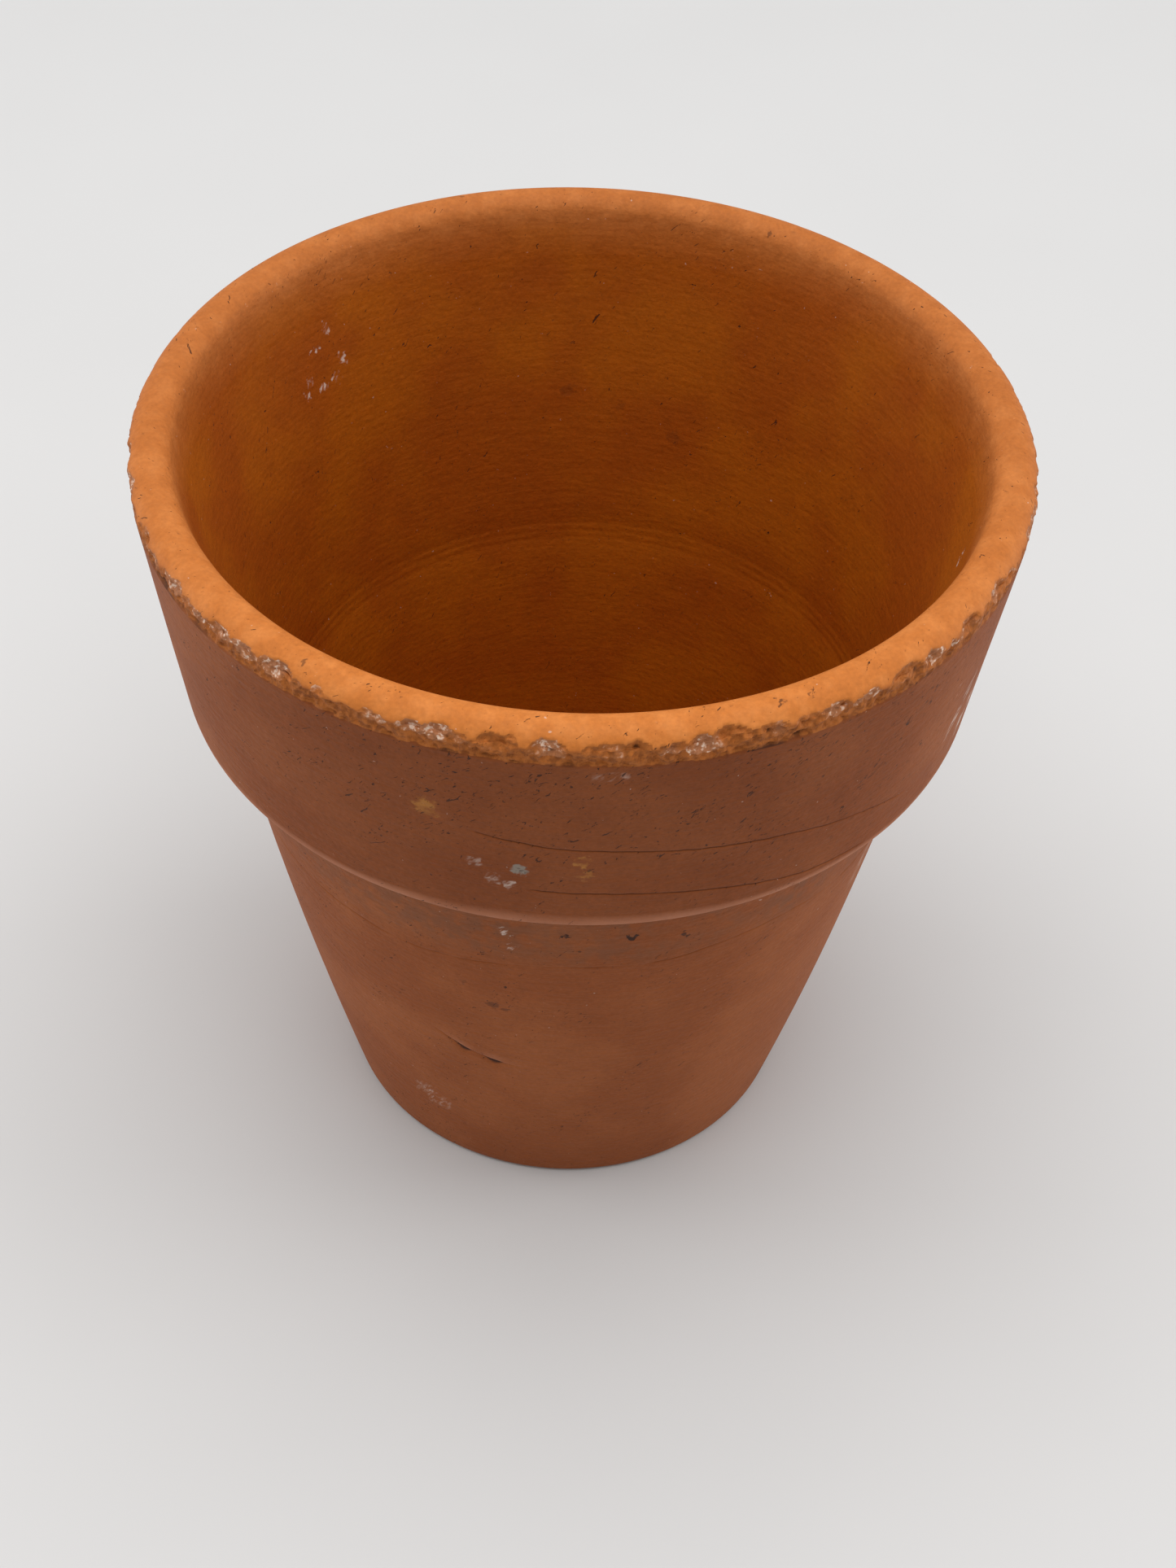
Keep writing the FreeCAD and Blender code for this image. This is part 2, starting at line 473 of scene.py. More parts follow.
@dataclass
class Skin:
    """The pot's whole surface: a grid that is closed both ways, and what is cut into it.

    Attributes:
        trace: The half section.
        courses: The runs of rows, in the order of the walk.
        guides: The lines that rows follow.
        crowding: How much closer together the columns lie at the front, from 0 to 1.
        row_turn: The most that the outline turns from one row to the next, in radians.
        bearing: Each point's bearing, in radians.
        along: How far along the walk each point lies, once its row has been slid.
        radius: The unworn section there, like height, out_radial and out_up, as in Trace.
        depth: How much clay is worn away at each point, in metres.
        masks: What the finish is told about each point.
        counts: How many columns each row has.
    """

    trace: Trace
    courses: list[Course]
    guides: list[Guide]
    crowding: float = 0.4
    row_turn: float = math.radians(15.0)
    bearing: np.ndarray = field(init=False)
    along: np.ndarray = field(init=False)
    radius: np.ndarray = field(init=False)
    height: np.ndarray = field(init=False)
    out_radial: np.ndarray = field(init=False)
    out_up: np.ndarray = field(init=False)
    depth: np.ndarray = field(init=False)
    masks: dict[Mask, np.ndarray] = field(init=False)
    counts: list[int] = field(init=False)

    def __post_init__(self) -> None:
        """Lays the grid out and reads the section at each of its points."""
        bearings, rows, self.counts = [], [], []
        for course in self.courses:
            columns = self.columns(course.ring.value)
            for row in self.rows(course):
                bearings.append(columns)
                rows.append(np.full(len(columns), row))
                self.counts.append(len(columns))
        self.bearing = np.concatenate(bearings)
        self.along = self.follow_guides(np.concatenate(rows))
        self.radius, self.height, self.out_radial, self.out_up = self.trace.at(self.along)
        self.depth = np.zeros(len(self.along))
        self.masks = {mask: np.zeros(len(self.along)) for mask in Mask}

    def columns(self, count: int) -> np.ndarray:
        """Bearings of the columns: an even turn less a sine of it, which crowds the front."""
        turn = (np.arange(count) / count - 0.5) * TURN
        return turn - self.crowding * np.sin(turn)

    def rows(self, course: Course) -> np.ndarray:
        """Spaces the rows of one course.

        The rows are even in a measure that grows by one for each spacing walked, or for each
        row_turn that the outline turns, whichever is more. Near a guide they give way to the
        guide's own rows.

        Args:
            course: The run of rows.

        Returns:
            Where each row lies along the walk.
        """
        inside = (self.trace.along >= course.start) & (self.trace.along <= course.end)
        along = self.trace.along[inside]
        pace = np.maximum(1 / course.spacing, self.trace.bend[inside] / self.row_turn)
        measure = np.concatenate([[0.0], np.cumsum(pace[1:] * np.diff(along))])
        count = math.ceil(measure[-1])
        rows = np.interp(np.arange(count) / count * measure[-1], measure, along)
        rows[0] = course.start
        for guide in self.guides:
            middle = float(self.trace.along_at(guide.side, np.array(guide.rest)))
            if not course.start < middle < course.end:
                continue
            own = middle + np.array(guide.offsets) * MM
            clear = course.spacing * 0.4
            rows = rows[(rows < own[0] - clear) | (rows > own[-1] + clear)]
            rows = np.sort(np.concatenate([rows, own]))
        return rows

    def follow_guides(self, along: np.ndarray) -> np.ndarray:
        """Slides rows along the walk so that each guide's row lies on its line.

        Between one guide and the next, or the end of their side, a row keeps its share of the
        way.

        Args:
            along: Where each point lies before it is slid.

        Returns:
            Where each point lies after.
        """
        slid = along.copy()
        for side in {guide.side for guide in self.guides}:
            guides = sorted((g for g in self.guides if g.side is side), key=lambda g: g.rest)
            if side is Side.INSIDE:
                guides.reverse()
            start, end = self.trace.spans[side]
            still = np.ones_like(along)
            before, after = [start * still], [start * still]
            for guide in guides:
                middle = float(self.trace.along_at(side, np.array(guide.rest)))
                moved = self.trace.along_at(side, guide.height_at(self.bearing))
                reach = np.array([guide.offsets[0], guide.offsets[-1]]) * MM
                before += [(middle + r) * still for r in reach]
                after += [moved + r for r in reach]
            before.append(end * still)
            after.append(end * still)
            for i in range(len(before) - 1):
                inside = (along >= before[i]) & (along <= before[i + 1])
                share = (along - before[i]) / (before[i + 1] - before[i])
                moved = after[i] + share * (after[i + 1] - after[i])
                slid = np.where(inside, moved, slid)
        return slid

    def on(self, side: Side) -> np.ndarray:
        """True for the points between the rounded corners of a side."""
        start, end = self.trace.spans[side]
        return (self.along >= start) & (self.along <= end)

    def points(self, cut: bool = True) -> np.ndarray:
        """Places of all points, with the wear cut in or without it."""
        depth = self.depth if cut else 0.0
        radius = self.radius - depth * self.out_radial
        height = self.height - depth * self.out_up
        return np.stack([radius * np.sin(self.bearing), -radius * np.cos(self.bearing), height], axis=1)

    def facing(self, middle: float, near: float, far: float) -> np.ndarray:
        """Eases from 1 to 0 as bearings go from near to far from a middle, all in degrees."""
        off = np.abs(self.bearing - math.radians(middle))
        return smooth_step(math.radians(far), math.radians(near), off)

    def mark(self, mask: Mask, strength: np.ndarray, at: np.ndarray | slice = slice(None)) -> None:
        """Raises a mask to that strength where it is lower, at all points or only at some."""
        self.masks[mask][at] = np.maximum(self.masks[mask][at], np.clip(strength, 0.0, 1.0))

    def faces(self) -> list[np.ndarray]:
        """Joins each row to the next, and the last to the first.

        Rows with the same count are joined by four-cornered faces. Where one has twice the
        columns of the other, each column of the coarser row is joined to two of the finer one
        by three triangles.

        Returns:
            Arrays of faces, one array for each number of corners.
        """
        firsts = np.concatenate([[0], np.cumsum(self.counts)[:-1]])
        squares, triangles = [], []
        for i, count in enumerate(self.counts):
            after = (i + 1) % len(self.counts)
            low, high, other = firsts[i], firsts[after], self.counts[after]
            if count == other:
                column = np.arange(count)
                beside = (column + 1) % count
                square = (low + column, low + beside, high + beside, high + column)
                squares.append(np.stack(square, axis=1))
                continue
            rising = other > count
            coarse, fine = (low, high) if rising else (high, low)
            few = min(count, other)
            column = np.arange(few)
            beside = coarse + (column + 1) % few
            first, middle, last = (fine + (2 * column + step) % (2 * few) for step in range(3))
            own = coarse + column
            for fan in ((own, middle, first), (own, beside, middle), (beside, last, middle)):
                corners = np.stack(fan, axis=1)
                triangles.append(corners if rising else corners[:, ::-1])
        return [np.concatenate(squares), np.concatenate(triangles)]


class Wear(Protocol):
    """Anything that cuts into the skin, or marks it."""

    def cut(self, skin: Skin) -> None:
        """Adds its depth and its masks to the skin."""


# ---------------------------------------------------------------- wear


@dataclass(frozen=True)
class PressedClay:
    """The slow unevenness of pressed, dried and fired clay. It only ever takes clay away.

    Attributes:
        wander: Most that the wall leans in from a true round, in metres.
        lumps: Size of those leans, in metres.
        grain: Height of the fine tooth of the surface, in metres.
        tooth: Size of that tooth, in metres.
    """

    wander: float = 0.22 * MM
    lumps: float = 32.0 * MM
    grain: float = 0.022 * MM
    tooth: float = 1.5 * MM

    def cut(self, skin: Skin) -> None:
        """Leans the wall in by slow noise, and roughens it by fine noise."""
        places = skin.points(cut=False)
        slow = 0.5 + 0.5 * layered_noise(places, self.lumps, 11, layers=2)
        fine = 0.5 + 0.5 * layered_noise(places, self.tooth, 17, layers=2)
        underneath = skin.on(Side.UNDERSIDE)
        skin.depth += np.where(underneath, 0.3, 1.0) * (self.wander * slow + self.grain * fine)


@dataclass(frozen=True)
class Chip:
    """A shell-shaped bite out of the lip's outer edge.

    Attributes:
        bearing: Where its middle is, in degrees.
        rise: How far its middle lies above the edge, in millimetres.
        half_length: Half its length round the pot, in millimetres.
        half_width: Half its width across the edge, in millimetres.
        depth: How deep its middle is, in millimetres.
    """

    bearing: float
    rise: float
    half_length: float
    half_width: float
    depth: float


@dataclass(frozen=True)
class BrokenEdge:
    """The lip's outer edge, crumbled along a strip and bitten by chips all the way round.

    Attributes:
        chips: The large chips, each in its own place.
        small_chips: How many smaller ones are scattered between them.
        strip_drop: How far below the edge the crumbled strip reaches, in metres.
        strip_rise: How far above the edge it reaches, in metres.
        strip_depth: How deep the strip is worn, in metres.
        roughness: Height of the broken clay's grain, in metres.
        hollow_shade: How dark the painted shade in the broken clay's hollows is, from 0 to 1.
        reach: How far from the edge any of this reaches, in metres.
        seed: Picks where the small chips fall.
    """

    chips: tuple[Chip, ...]
    small_chips: int = 165
    strip_drop: float = 3.1 * MM
    strip_rise: float = 0.1 * MM
    strip_depth: float = 0.38 * MM
    roughness: float = 0.55 * MM
    hollow_shade: float = 0.42
    reach: float = 9.0 * MM
    seed: int = 5

    def scattered(self) -> np.ndarray:
        """Draws the small chips: one in each even share of the rim, shaken by half a share."""
        dice = np.random.default_rng(self.seed)
        count = self.small_chips
        bearing = (np.arange(count) + dice.uniform(0.0, 1.0, count)) / count * TURN - math.pi
        size = dice.uniform(0.0, 1.0, count) ** 2.2
        rise = -0.5 + dice.uniform(0.0, 0.9, count)
        half_length = 0.8 + 2.4 * size + dice.uniform(0.0, 0.5, count)
        half_width = 0.75 + 0.8 * size + dice.uniform(0.0, 0.4, count)
        depth = 0.28 + 0.5 * size
        return np.stack([bearing, rise * MM, half_length * MM, half_width * MM, depth * MM], axis=1)

    def placed(self) -> np.ndarray:
        """The large chips as rows of bearing, rise, half length, half width and depth."""
        scale = np.array([math.radians(1.0), MM, MM, MM, MM])
        rows = [(c.bearing, c.rise, c.half_length, c.half_width, c.depth) for c in self.chips]
        return np.array(rows) * scale

    def strip(self, places: np.ndarray, rise: np.ndarray, low: np.ndarray) -> np.ndarray:
        """How deep the crumbled strip is, between its low line and its ragged high one."""
        high = self.strip_rise + 0.75 * MM * layered_noise(places, 3.4 * MM, 29)
        wear = self.strip_depth * (0.75 + 0.45 * layered_noise(places, 5.0 * MM, 31))
        return wear * smooth_step(0.0, 0.35 * MM, rise - low) * smooth_step(0.0, 0.5 * MM, high - rise)

    def bites(
        self, places: np.ndarray, bearing: np.ndarray, around: float, rise: np.ndarray
    ) -> np.ndarray:
        """How deep the chips are.

        A chip is a bowl: its depth falls from the middle as one less the squares of the shares
        of its half length and half width, so it ends in a crisp rim. Where bowls overlap the
        deepest one shows, which leaves a ridge between them.

        Args:
            places: The points, in metres.
            bearing: Their bearings, in radians.
            around: The rim's radius, in metres.
            rise: How far they lie above the edge, in metres.

        Returns:
            The depth at each point, in metres.
        """
        bite = np.zeros(len(rise))
        wobble = 1.0 + 0.65 * layered_noise(places, 1.9 * MM, 37)
        for middle, up, half_length, half_width, depth in (*self.placed(), *self.scattered()):
            lengthwise = turn_from(middle, bearing) * around / half_length
            across = (rise - up) / half_width
            bite = np.maximum(bite, depth * (wobble - lengthwise**2 - across**2))
        return bite

    def foot_shadow_line(self, places: np.ndarray, climb: np.ndarray) -> np.ndarray:
        """How dark the painted shadow line along the strip's foot is; climb is the height over it."""
        line = smooth_step(0.42 * MM, 0.12 * MM, np.abs(climb - 0.1 * MM))
        return 0.45 * line * smooth_step(-0.2, 0.5, layered_noise(places, 4.0 * MM, 47))

    def cut(self, skin: Skin) -> None:
        """Cuts the crumbled strip and the chips.

        Inside a break the clay stands up in sharp crests, one less twice the size of a noise,
        with a finer noise on them.
        """
        edge = skin.trace.corner(Side.BAND)
        near = np.flatnonzero(np.abs(skin.along - edge) < self.reach)
        rise = skin.along[near] - edge
        places = skin.points(cut=False)[near]
        low = 0.22 * MM * layered_noise(places, 2.6 * MM, 23) - self.strip_drop
        strip = self.strip(places, rise, low)
        bite = self.bites(places, skin.bearing[near], skin.trace.radius.max(), rise)
        broken = np.maximum(strip, bite)
        open_clay = smooth_step(0.0, 0.12 * MM, broken)
        crests = 1.0 - 2.0 * np.abs(layered_noise(places, 2.3 * MM, 41, layers=2))
        rough = 0.55 * clay_noise(places, 0.7 * MM, 43) - 0.75 * crests
        broken += open_clay * self.roughness * (0.45 + rough)
        skin.depth[near] += np.maximum(broken, 0.0)
        # Painted shade: the broken clay's hollows and the strip's foot are darkened.
        hollows = self.hollow_shade * open_clay * smooth_step(0.05, 0.75, rough)
        skin.mark(Mask.DARK, np.maximum(hollows, self.foot_shadow_line(places, rise - low)), near)
        skin.mark(Mask.BROKEN, smooth_step(0.02 * MM, 0.10 * MM, bite), near)
        skin.mark(Mask.CRUMBLED, smooth_step(0.02 * MM, 0.12 * MM, strip), near)


@dataclass(frozen=True)
class Crack:
    """A hairline groove along a guide, open in some stretches and closed in others.

    Attributes:
        guide: The line that it follows.
        depth: Its depth in metres.
        half_width: Half its width in metres.
        darkness: How dark it looks, from 0 to 1.
        closed: How much of it is closed, from -1, none, to 1, all.
        offset: How far from the guide it runs, in metres.
        stretch: Length of its open stretches, as an angle in radians.
    """

    guide: Guide
    depth: float = 0.45 * MM
    half_width: float = 0.17 * MM
    darkness: float = 1.0
    closed: float = -0.35
    offset: float = 0.0
    stretch: float = 0.16

    def cut(self, skin: Skin) -> None:
        """Cuts a groove with a sharp floor, its depth scaled by slow noise round the pot."""
        side = skin.on(self.guide.side)
        line = skin.trace.along_at(self.guide.side, self.guide.height_at(skin.bearing))
        off = np.abs(skin.along - line - self.offset)
        groove = np.clip(1.0 - off / self.half_width, 0.0, 1.0) * side
        opening = layered_noise(self.guide.circle(skin.bearing), self.stretch, 53)
        opening = smooth_step(self.closed - 0.3, self.closed + 0.3, opening)
        share = groove * opening * self.guide.openness(skin.bearing)
        skin.depth += self.depth * share
        skin.mark(Mask.DARK, self.darkness * share)


@dataclass(frozen=True)
class Gouge:
    """A slanting slit where a flake of wet clay was dragged off: steep above, shallow below.

    Attributes:
        guide: The line of its steep upper side.
        depth: How deep it is at its deepest, in metres.
        reach: How far the shallow side runs below the line, in metres.
        first_bulge: Where along it the first of its two bulges is, as a share of its length.
        bulge_gap: How far on the second one is.
    """

    guide: Guide
    depth: float = 0.75 * MM
    reach: float = 3.0 * MM
    first_bulge: float = 0.32
    bulge_gap: float = 0.38

    def cut(self, skin: Skin) -> None:
        """Cuts a ramp that falls towards the line and jumps back up just past it.

        Its reach and depth swell twice along its length, as a cosine of the way along it.
        """
        side = skin.on(self.guide.side)
        first, last = self.guide.path[0][0], self.guide.path[-1][0]
        share = (np.degrees(skin.bearing) - first) / (last - first)
        swell = np.clip(np.sin(math.pi * np.clip(share, 0.0, 1.0)), 0.0, 1.0) ** 0.6
        swell *= 0.68 + 0.32 * np.cos(TURN * (share - self.first_bulge) / self.bulge_gap)
        line = skin.trace.along_at(self.guide.side, self.guide.height_at(skin.bearing))
        below = line - skin.along
        ramp = np.clip(1.0 - below / (self.reach * np.maximum(swell, 0.05)), 0.0, 1.0)
        steep = smooth_step(-0.17 * MM, 0.0, below)
        cut = ramp * steep * swell * side
        skin.depth += self.depth * cut
        # Painted shadow: the deepest part of the slit is darkened.
        skin.mark(Mask.DARK, 0.6 * smooth_step(0.26, 0.50, cut))
        # Painted highlight: a paler line on the raised edge just above the slit.
        lifted = smooth_step(0.8 * MM, 0.2 * MM, np.abs(below + 0.5 * MM))
        skin.mark(Mask.EDGE_DUST_AND_HIGHLIGHT, 0.5 * lifted * swell * side)


@dataclass(frozen=True)
class Patch:
    """A soft-edged patch of a mask.

    Attributes:
        mask: What it is a patch of.
        side: The side that it lies on.
        bearing: Where its middle is, in degrees.
        height: How high its middle is, in millimetres.
        half_length: Half its size along its lean, in millimetres.
        half_width: Half its size across that, in millimetres.
        lean: How far it leans from level, in degrees, up to the right.
        strength: The mask's value in its middle.
    """

    mask: Mask
    side: Side
    bearing: float
    height: float
    half_length: float
    half_width: float
    lean: float = 0.0
    strength: float = 1.0

    def cut(self, skin: Skin) -> None:
        """Marks the root of one less the squared distance from the middle, as a share of its size."""
        middle = float(skin.trace.along_at(self.side, np.array(self.height * MM)))
        reach = 3.0 * max(self.half_length, self.half_width) * MM
        near = np.flatnonzero(skin.on(self.side) & (np.abs(skin.along - middle) < reach))
        level = turn_from(math.radians(self.bearing), skin.bearing[near]) * skin.radius[near] / MM
        up = (skin.along[near] - middle) / MM
        cosine, sine = math.cos(math.radians(self.lean)), math.sin(math.radians(self.lean))
        lengthwise = (level * cosine + up * sine) / self.half_length
        across = (up * cosine - level * sine) / self.half_width
        share = np.clip(1.0 - lengthwise**2 - across**2, 0.0, 1.0)
        skin.mark(self.mask, self.strength * np.sqrt(share), near)


@dataclass(frozen=True)
class Dab:
    """A small ragged spot of a mask, finer than the rows of points can carry.

    Attributes:
        mask: What it is a spot of.
        side: The side that it lies on.
        bearing: Where its middle is, in degrees.
        height: How high its middle is, in millimetres.
        size: Its radius in millimetres.
        strength: The mask's value in its middle.
    """

    mask: Mask
    side: Side
    bearing: float
    height: float
    size: float
    strength: float = 1.0

    def centre(self, trace: Trace) -> Vector:
        """Its middle on the unworn clay, in metres."""
        along = trace.along_at(self.side, np.array(self.height * MM))
        radius, height, _, _ = (float(value) for value in trace.at(along))
        angle = math.radians(self.bearing)
        return Vector((radius * math.sin(angle), -radius * math.cos(angle), height))


@dataclass(frozen=True)
class Pocks:
    """Open pores scattered over one stretch of the surface, as small smooth hollows.

    Attributes:
        start: Where along the walk the stretch starts.
        end: Where it ends.
        count: How many there are.
        size: Half length of the largest, in metres.
        depth: Depth of the largest, in metres.
        seed: Picks where they fall.
        darkness: How dark their middles look, from 0 to 1.
    """

    start: float
    end: float
    count: int
    size: float
    depth: float
    seed: int
    darkness: float = 0.0

    def cut(self, skin: Skin) -> None:
        """Cuts each hollow as the square of one less the squared distance from its middle."""
        dice = np.random.default_rng(self.seed)
        near = np.flatnonzero((skin.along >= self.start) & (skin.along <= self.end))
        bearing, along, radius = skin.bearing[near], skin.along[near], skin.radius[near]
        hollow = np.zeros(len(near))
        for _ in range(self.count):
            middle, lean = dice.uniform(-math.pi, math.pi), dice.uniform(0.2, 1.3)
            where = dice.uniform(self.start, self.end)
            size = self.size * dice.uniform(0.45, 1.0)
            slim = dice.uniform(0.45, 0.9)
            level = turn_from(middle, bearing) * radius / size
            up = (along - where) / size
            lengthwise = level * math.cos(lean) + up * math.sin(lean)
            across = (up * math.cos(lean) - level * math.sin(lean)) / slim
            share = np.clip(1.0 - lengthwise**2 - across**2, 0.0, 1.0) ** 2
            hollow = np.maximum(hollow, share * size / self.size)
        skin.depth[near] += self.depth * hollow
        skin.mark(Mask.DARK, self.darkness * smooth_step(0.1, 0.7, hollow), near)


@dataclass(frozen=True)
class ClayTones:
    """Which parts of the clay are clean, where it is stained by damp, and where painted shade darkens the
    front of the band and the back of the lip.

    Attributes:
        stain_low: Where the dull strip under the rim band ends, in metres.
        stain_high: Where it starts, which is the foot of the band.
        pores_start: How high the band's pores start to thicken, in metres.
        pores_full: How high they are thickest.
        pores_left: How thick they are on the rest of the outside, from 0 to 1.
        lip_lit_at_back: How much of the lip's tone is kept at the back, from 0 to 1; the rest is painted
            shade.
    """

    stain_low: float = 74.0 * MM
    stain_high: float = 95.5 * MM
    pores_start: float = 102.0 * MM
    pores_full: float = 120.0 * MM
    pores_left: float = 0.25
    lip_lit_at_back: float = 0.62

    def cut(self, skin: Skin) -> None:
        """Marks the lip, the inside, the band and the dull strip under it."""
        places = skin.points(cut=False)
        shaken = skin.along + 0.6 * MM * clay_noise(places, 6.0 * MM, 61)
        edge = skin.trace.corner(Side.BAND)
        lip = smooth_step(edge - 0.6 * MM, edge + 0.8 * MM, shaken)
        # Painted shade: the lip's tone fades from the front towards its sides and back.
        skin.mark(Mask.LIP, lip * (self.lip_lit_at_back + (1.0 - self.lip_lit_at_back) * skin.facing(0, 15, 110)))
        mouth = skin.trace.corner(Side.INNER_LIP)
        drain = skin.trace.spans[Side.DRAIN][0]
        inner = smooth_step(mouth - 1.0 * MM, mouth + 6.0 * MM, shaken)
        skin.mark(Mask.INNER, inner * smooth_step(drain, drain - 2.0 * MM, skin.along))

        strip = smooth_step(self.stain_low, self.stain_low + 5.0 * MM, skin.height)
        strip *= smooth_step(self.stain_high + 1.0 * MM, self.stain_high - 1.0 * MM, skin.height)
        blotches = 0.55 + 0.6 * layered_noise(places, 9.0 * MM, 67)
        skin.mark(Mask.STAIN, strip * np.clip(blotches, 0.0, 1.0) * (1.0 - lip))
        # A paler line on the shoulder's rounded edge: partly dust, partly painted highlight.
        crest = skin.trace.corner(Side.SHOULDER) + 0.6 * MM
        ridge = smooth_step(1.6 * MM, 0.4 * MM, np.abs(skin.along - crest))
        skin.mark(Mask.EDGE_DUST_AND_HIGHLIGHT, ridge * (0.75 + 0.35 * layered_noise(places, 8.0 * MM, 71)))

        outside = (1.0 - lip) * (1.0 - inner)
        high = smooth_step(self.pores_start, self.pores_full, skin.height)
        skin.mark(Mask.POROUS, outside * (high * skin.facing(20, 15, 75) + self.pores_left))
        # Painted shade: the band's front is darkened, fading out towards the sides.
        band = smooth_step(self.stain_high, self.stain_high + 2.0 * MM, skin.height)
        skin.mark(Mask.PAINTED_FRONT_SHADE, outside * band * skin.facing(0, 20, 70))


# ---------------------------------------------------------------- the finish

Socket = bpy.types.NodeSocket
Value = Union[bpy.types.NodeSocket, float]
Tone = tuple[float, float, float]
Paint = Union[bpy.types.NodeSocket, Tone]


class Nodes:
    """One material's nodes, put together a value at a time."""

    MIX_SHARE, MIX_UNDER, MIX_OVER, MIX_RESULT = 0, 6, 7, 2

    def __init__(self, name: str) -> None:
        """Starts an empty material of that name."""
        self.material = bpy.data.materials.new(name)
        self.material.use_nodes = True
        self.tree = self.material.node_tree
        self.tree.nodes.clear()
        self.dabs: dict[Mask, Socket] = {}

    def node(self, kind: str, **settings: object) -> bpy.types.Node:
        """Adds a node of that kind and sets its options."""
        node = self.tree.nodes.new(kind)
        for name, value in settings.items():
            setattr(node, name, value)
        return node

    def feed(self, socket: Socket, value: Value | Paint) -> None:
        """Links a socket to another one, or sets it to a plain number or colour."""
        if isinstance(value, bpy.types.NodeSocket):
            self.tree.links.new(value, socket)
        elif isinstance(value, tuple):
            socket.default_value = (*value, 1.0)
        else:
            socket.default_value = value

    def sum(self, operation: str, first: Value, second: Value = 0.0) -> Socket:
        """Works one sum, such as ADD or MULTIPLY, on two values."""
        node = self.node("ShaderNodeMath", operation=operation)
        self.feed(node.inputs[0], first)
        self.feed(node.inputs[1], second)
        return node.outputs[0]

    def times(self, first: Value, second: Value) -> Socket:
        """Multiplies two values."""
        return self.sum("MULTIPLY", first, second)

    def plus(self, first: Value, second: Value) -> Socket:
        """Adds two values."""
        return self.sum("ADD", first, second)

    def step(self, value: Value, low: float, high: float) -> Socket:
        """Eases a value from 0 at low to 1 at high."""
        node = self.node("ShaderNodeMapRange", interpolation_type="SMOOTHSTEP")
        self.feed(node.inputs["Value"], value)
        node.inputs["From Min"].default_value = low
        node.inputs["From Max"].default_value = high
        return node.outputs["Result"]

    def blend(self, share: Value, under: Paint, over: Paint, how: str = "MIX") -> Socket:
        """Lays one colour over another by a share of it."""
        node = self.node("ShaderNodeMix", data_type="RGBA", blend_type=how)
        self.feed(node.inputs[self.MIX_SHARE], share)
        self.feed(node.inputs[self.MIX_UNDER], under)
        self.feed(node.inputs[self.MIX_OVER], over)
        return node.outputs[self.MIX_RESULT]

    def noise(self, place: Socket, size: float, seed: float, detail: float = 2.0) -> Socket:
        """Noise from 0 to 1, mostly near a half, with lumps of that size in metres."""
        node = self.node("ShaderNodeTexNoise", noise_dimensions="4D")
        self.feed(node.inputs["Vector"], place)
        node.inputs["W"].default_value = seed
        node.inputs["Scale"].default_value = 1.0 / size
        node.inputs["Detail"].default_value = detail
        return node.outputs[0]

    def patches(
        self, place: Socket, size: float, seed: float, low: float, high: float, detail: float = 2.0
    ) -> Socket:
        """Patches of about that size: a noise eased from 0 to 1 between two of its values."""
        return self.step(self.noise(place, size, seed, detail), low, high)

    def shaken(self, place: Socket, size: float, amount: float) -> Socket:
        """Shifts places by up to that amount, by a noise of that size, in metres."""
        noise = self.node("ShaderNodeTexNoise")
        self.feed(noise.inputs["Vector"], place)
        noise.inputs["Scale"].default_value = 1.0 / size
        shake = self.node("ShaderNodeVectorMath", operation="MULTIPLY_ADD")
        self.feed(shake.inputs[0], noise.outputs["Color"])
        shake.inputs[1].default_value = (amount,) * 3
        self.feed(shake.inputs[2], place)
        return shake.outputs[0]

    def mask(self, mask: Mask) -> Socket:
        """Reads one of the masks that the wear left on the surface, with its dabs."""
        left = self.node("ShaderNodeAttribute", attribute_name=mask.value).outputs["Fac"]
        return self.sum("MAXIMUM", left, self.dabs[mask]) if mask in self.dabs else left

    def dab(self, mask: Mask, ragged: Socket, centre: Vector, size: float, strength: float) -> None:
        """Adds a spot to a mask: its strength near the centre, fading out at its size.

        Args:
            mask: The mask that it joins.
            ragged: Places in metres, shaken so that the spot's rim is ragged.
            centre: Its middle in metres.
            size: Its radius in metres.
            strength: The mask's value in its middle.
        """
        far = self.node("ShaderNodeVectorMath", operation="DISTANCE")
        self.feed(far.inputs[0], ragged)
        far.inputs[1].default_value = centre
        spot = self.times(self.step(far.outputs["Value"], size, 0.5 * size), strength)
        self.dabs[mask] = self.sum("MAXIMUM", spot, self.dabs[mask]) if mask in self.dabs else spot

    def shader(self, colour: Paint, roughness: Value) -> bpy.types.Node:
        """Adds the surface shader, with that colour and roughness, as the material's surface."""
        shader = self.node("ShaderNodeBsdfPrincipled")
        self.feed(shader.inputs["Base Color"], colour)
        self.feed(shader.inputs["Roughness"], roughness)
        end = self.node("ShaderNodeOutputMaterial")
        self.feed(end.inputs["Surface"], shader.outputs["BSDF"])
        return shader

    def scaled(self, paint: Paint, amount: Value) -> Socket:
        """Makes a colour that many times as bright."""
        node = self.node("ShaderNodeVectorMath", operation="SCALE")
        if isinstance(paint, tuple):
            node.inputs[0].default_value = paint
        else:
            self.feed(node.inputs[0], paint)
        self.feed(node.inputs["Scale"], amount)
        return node.outputs[0]


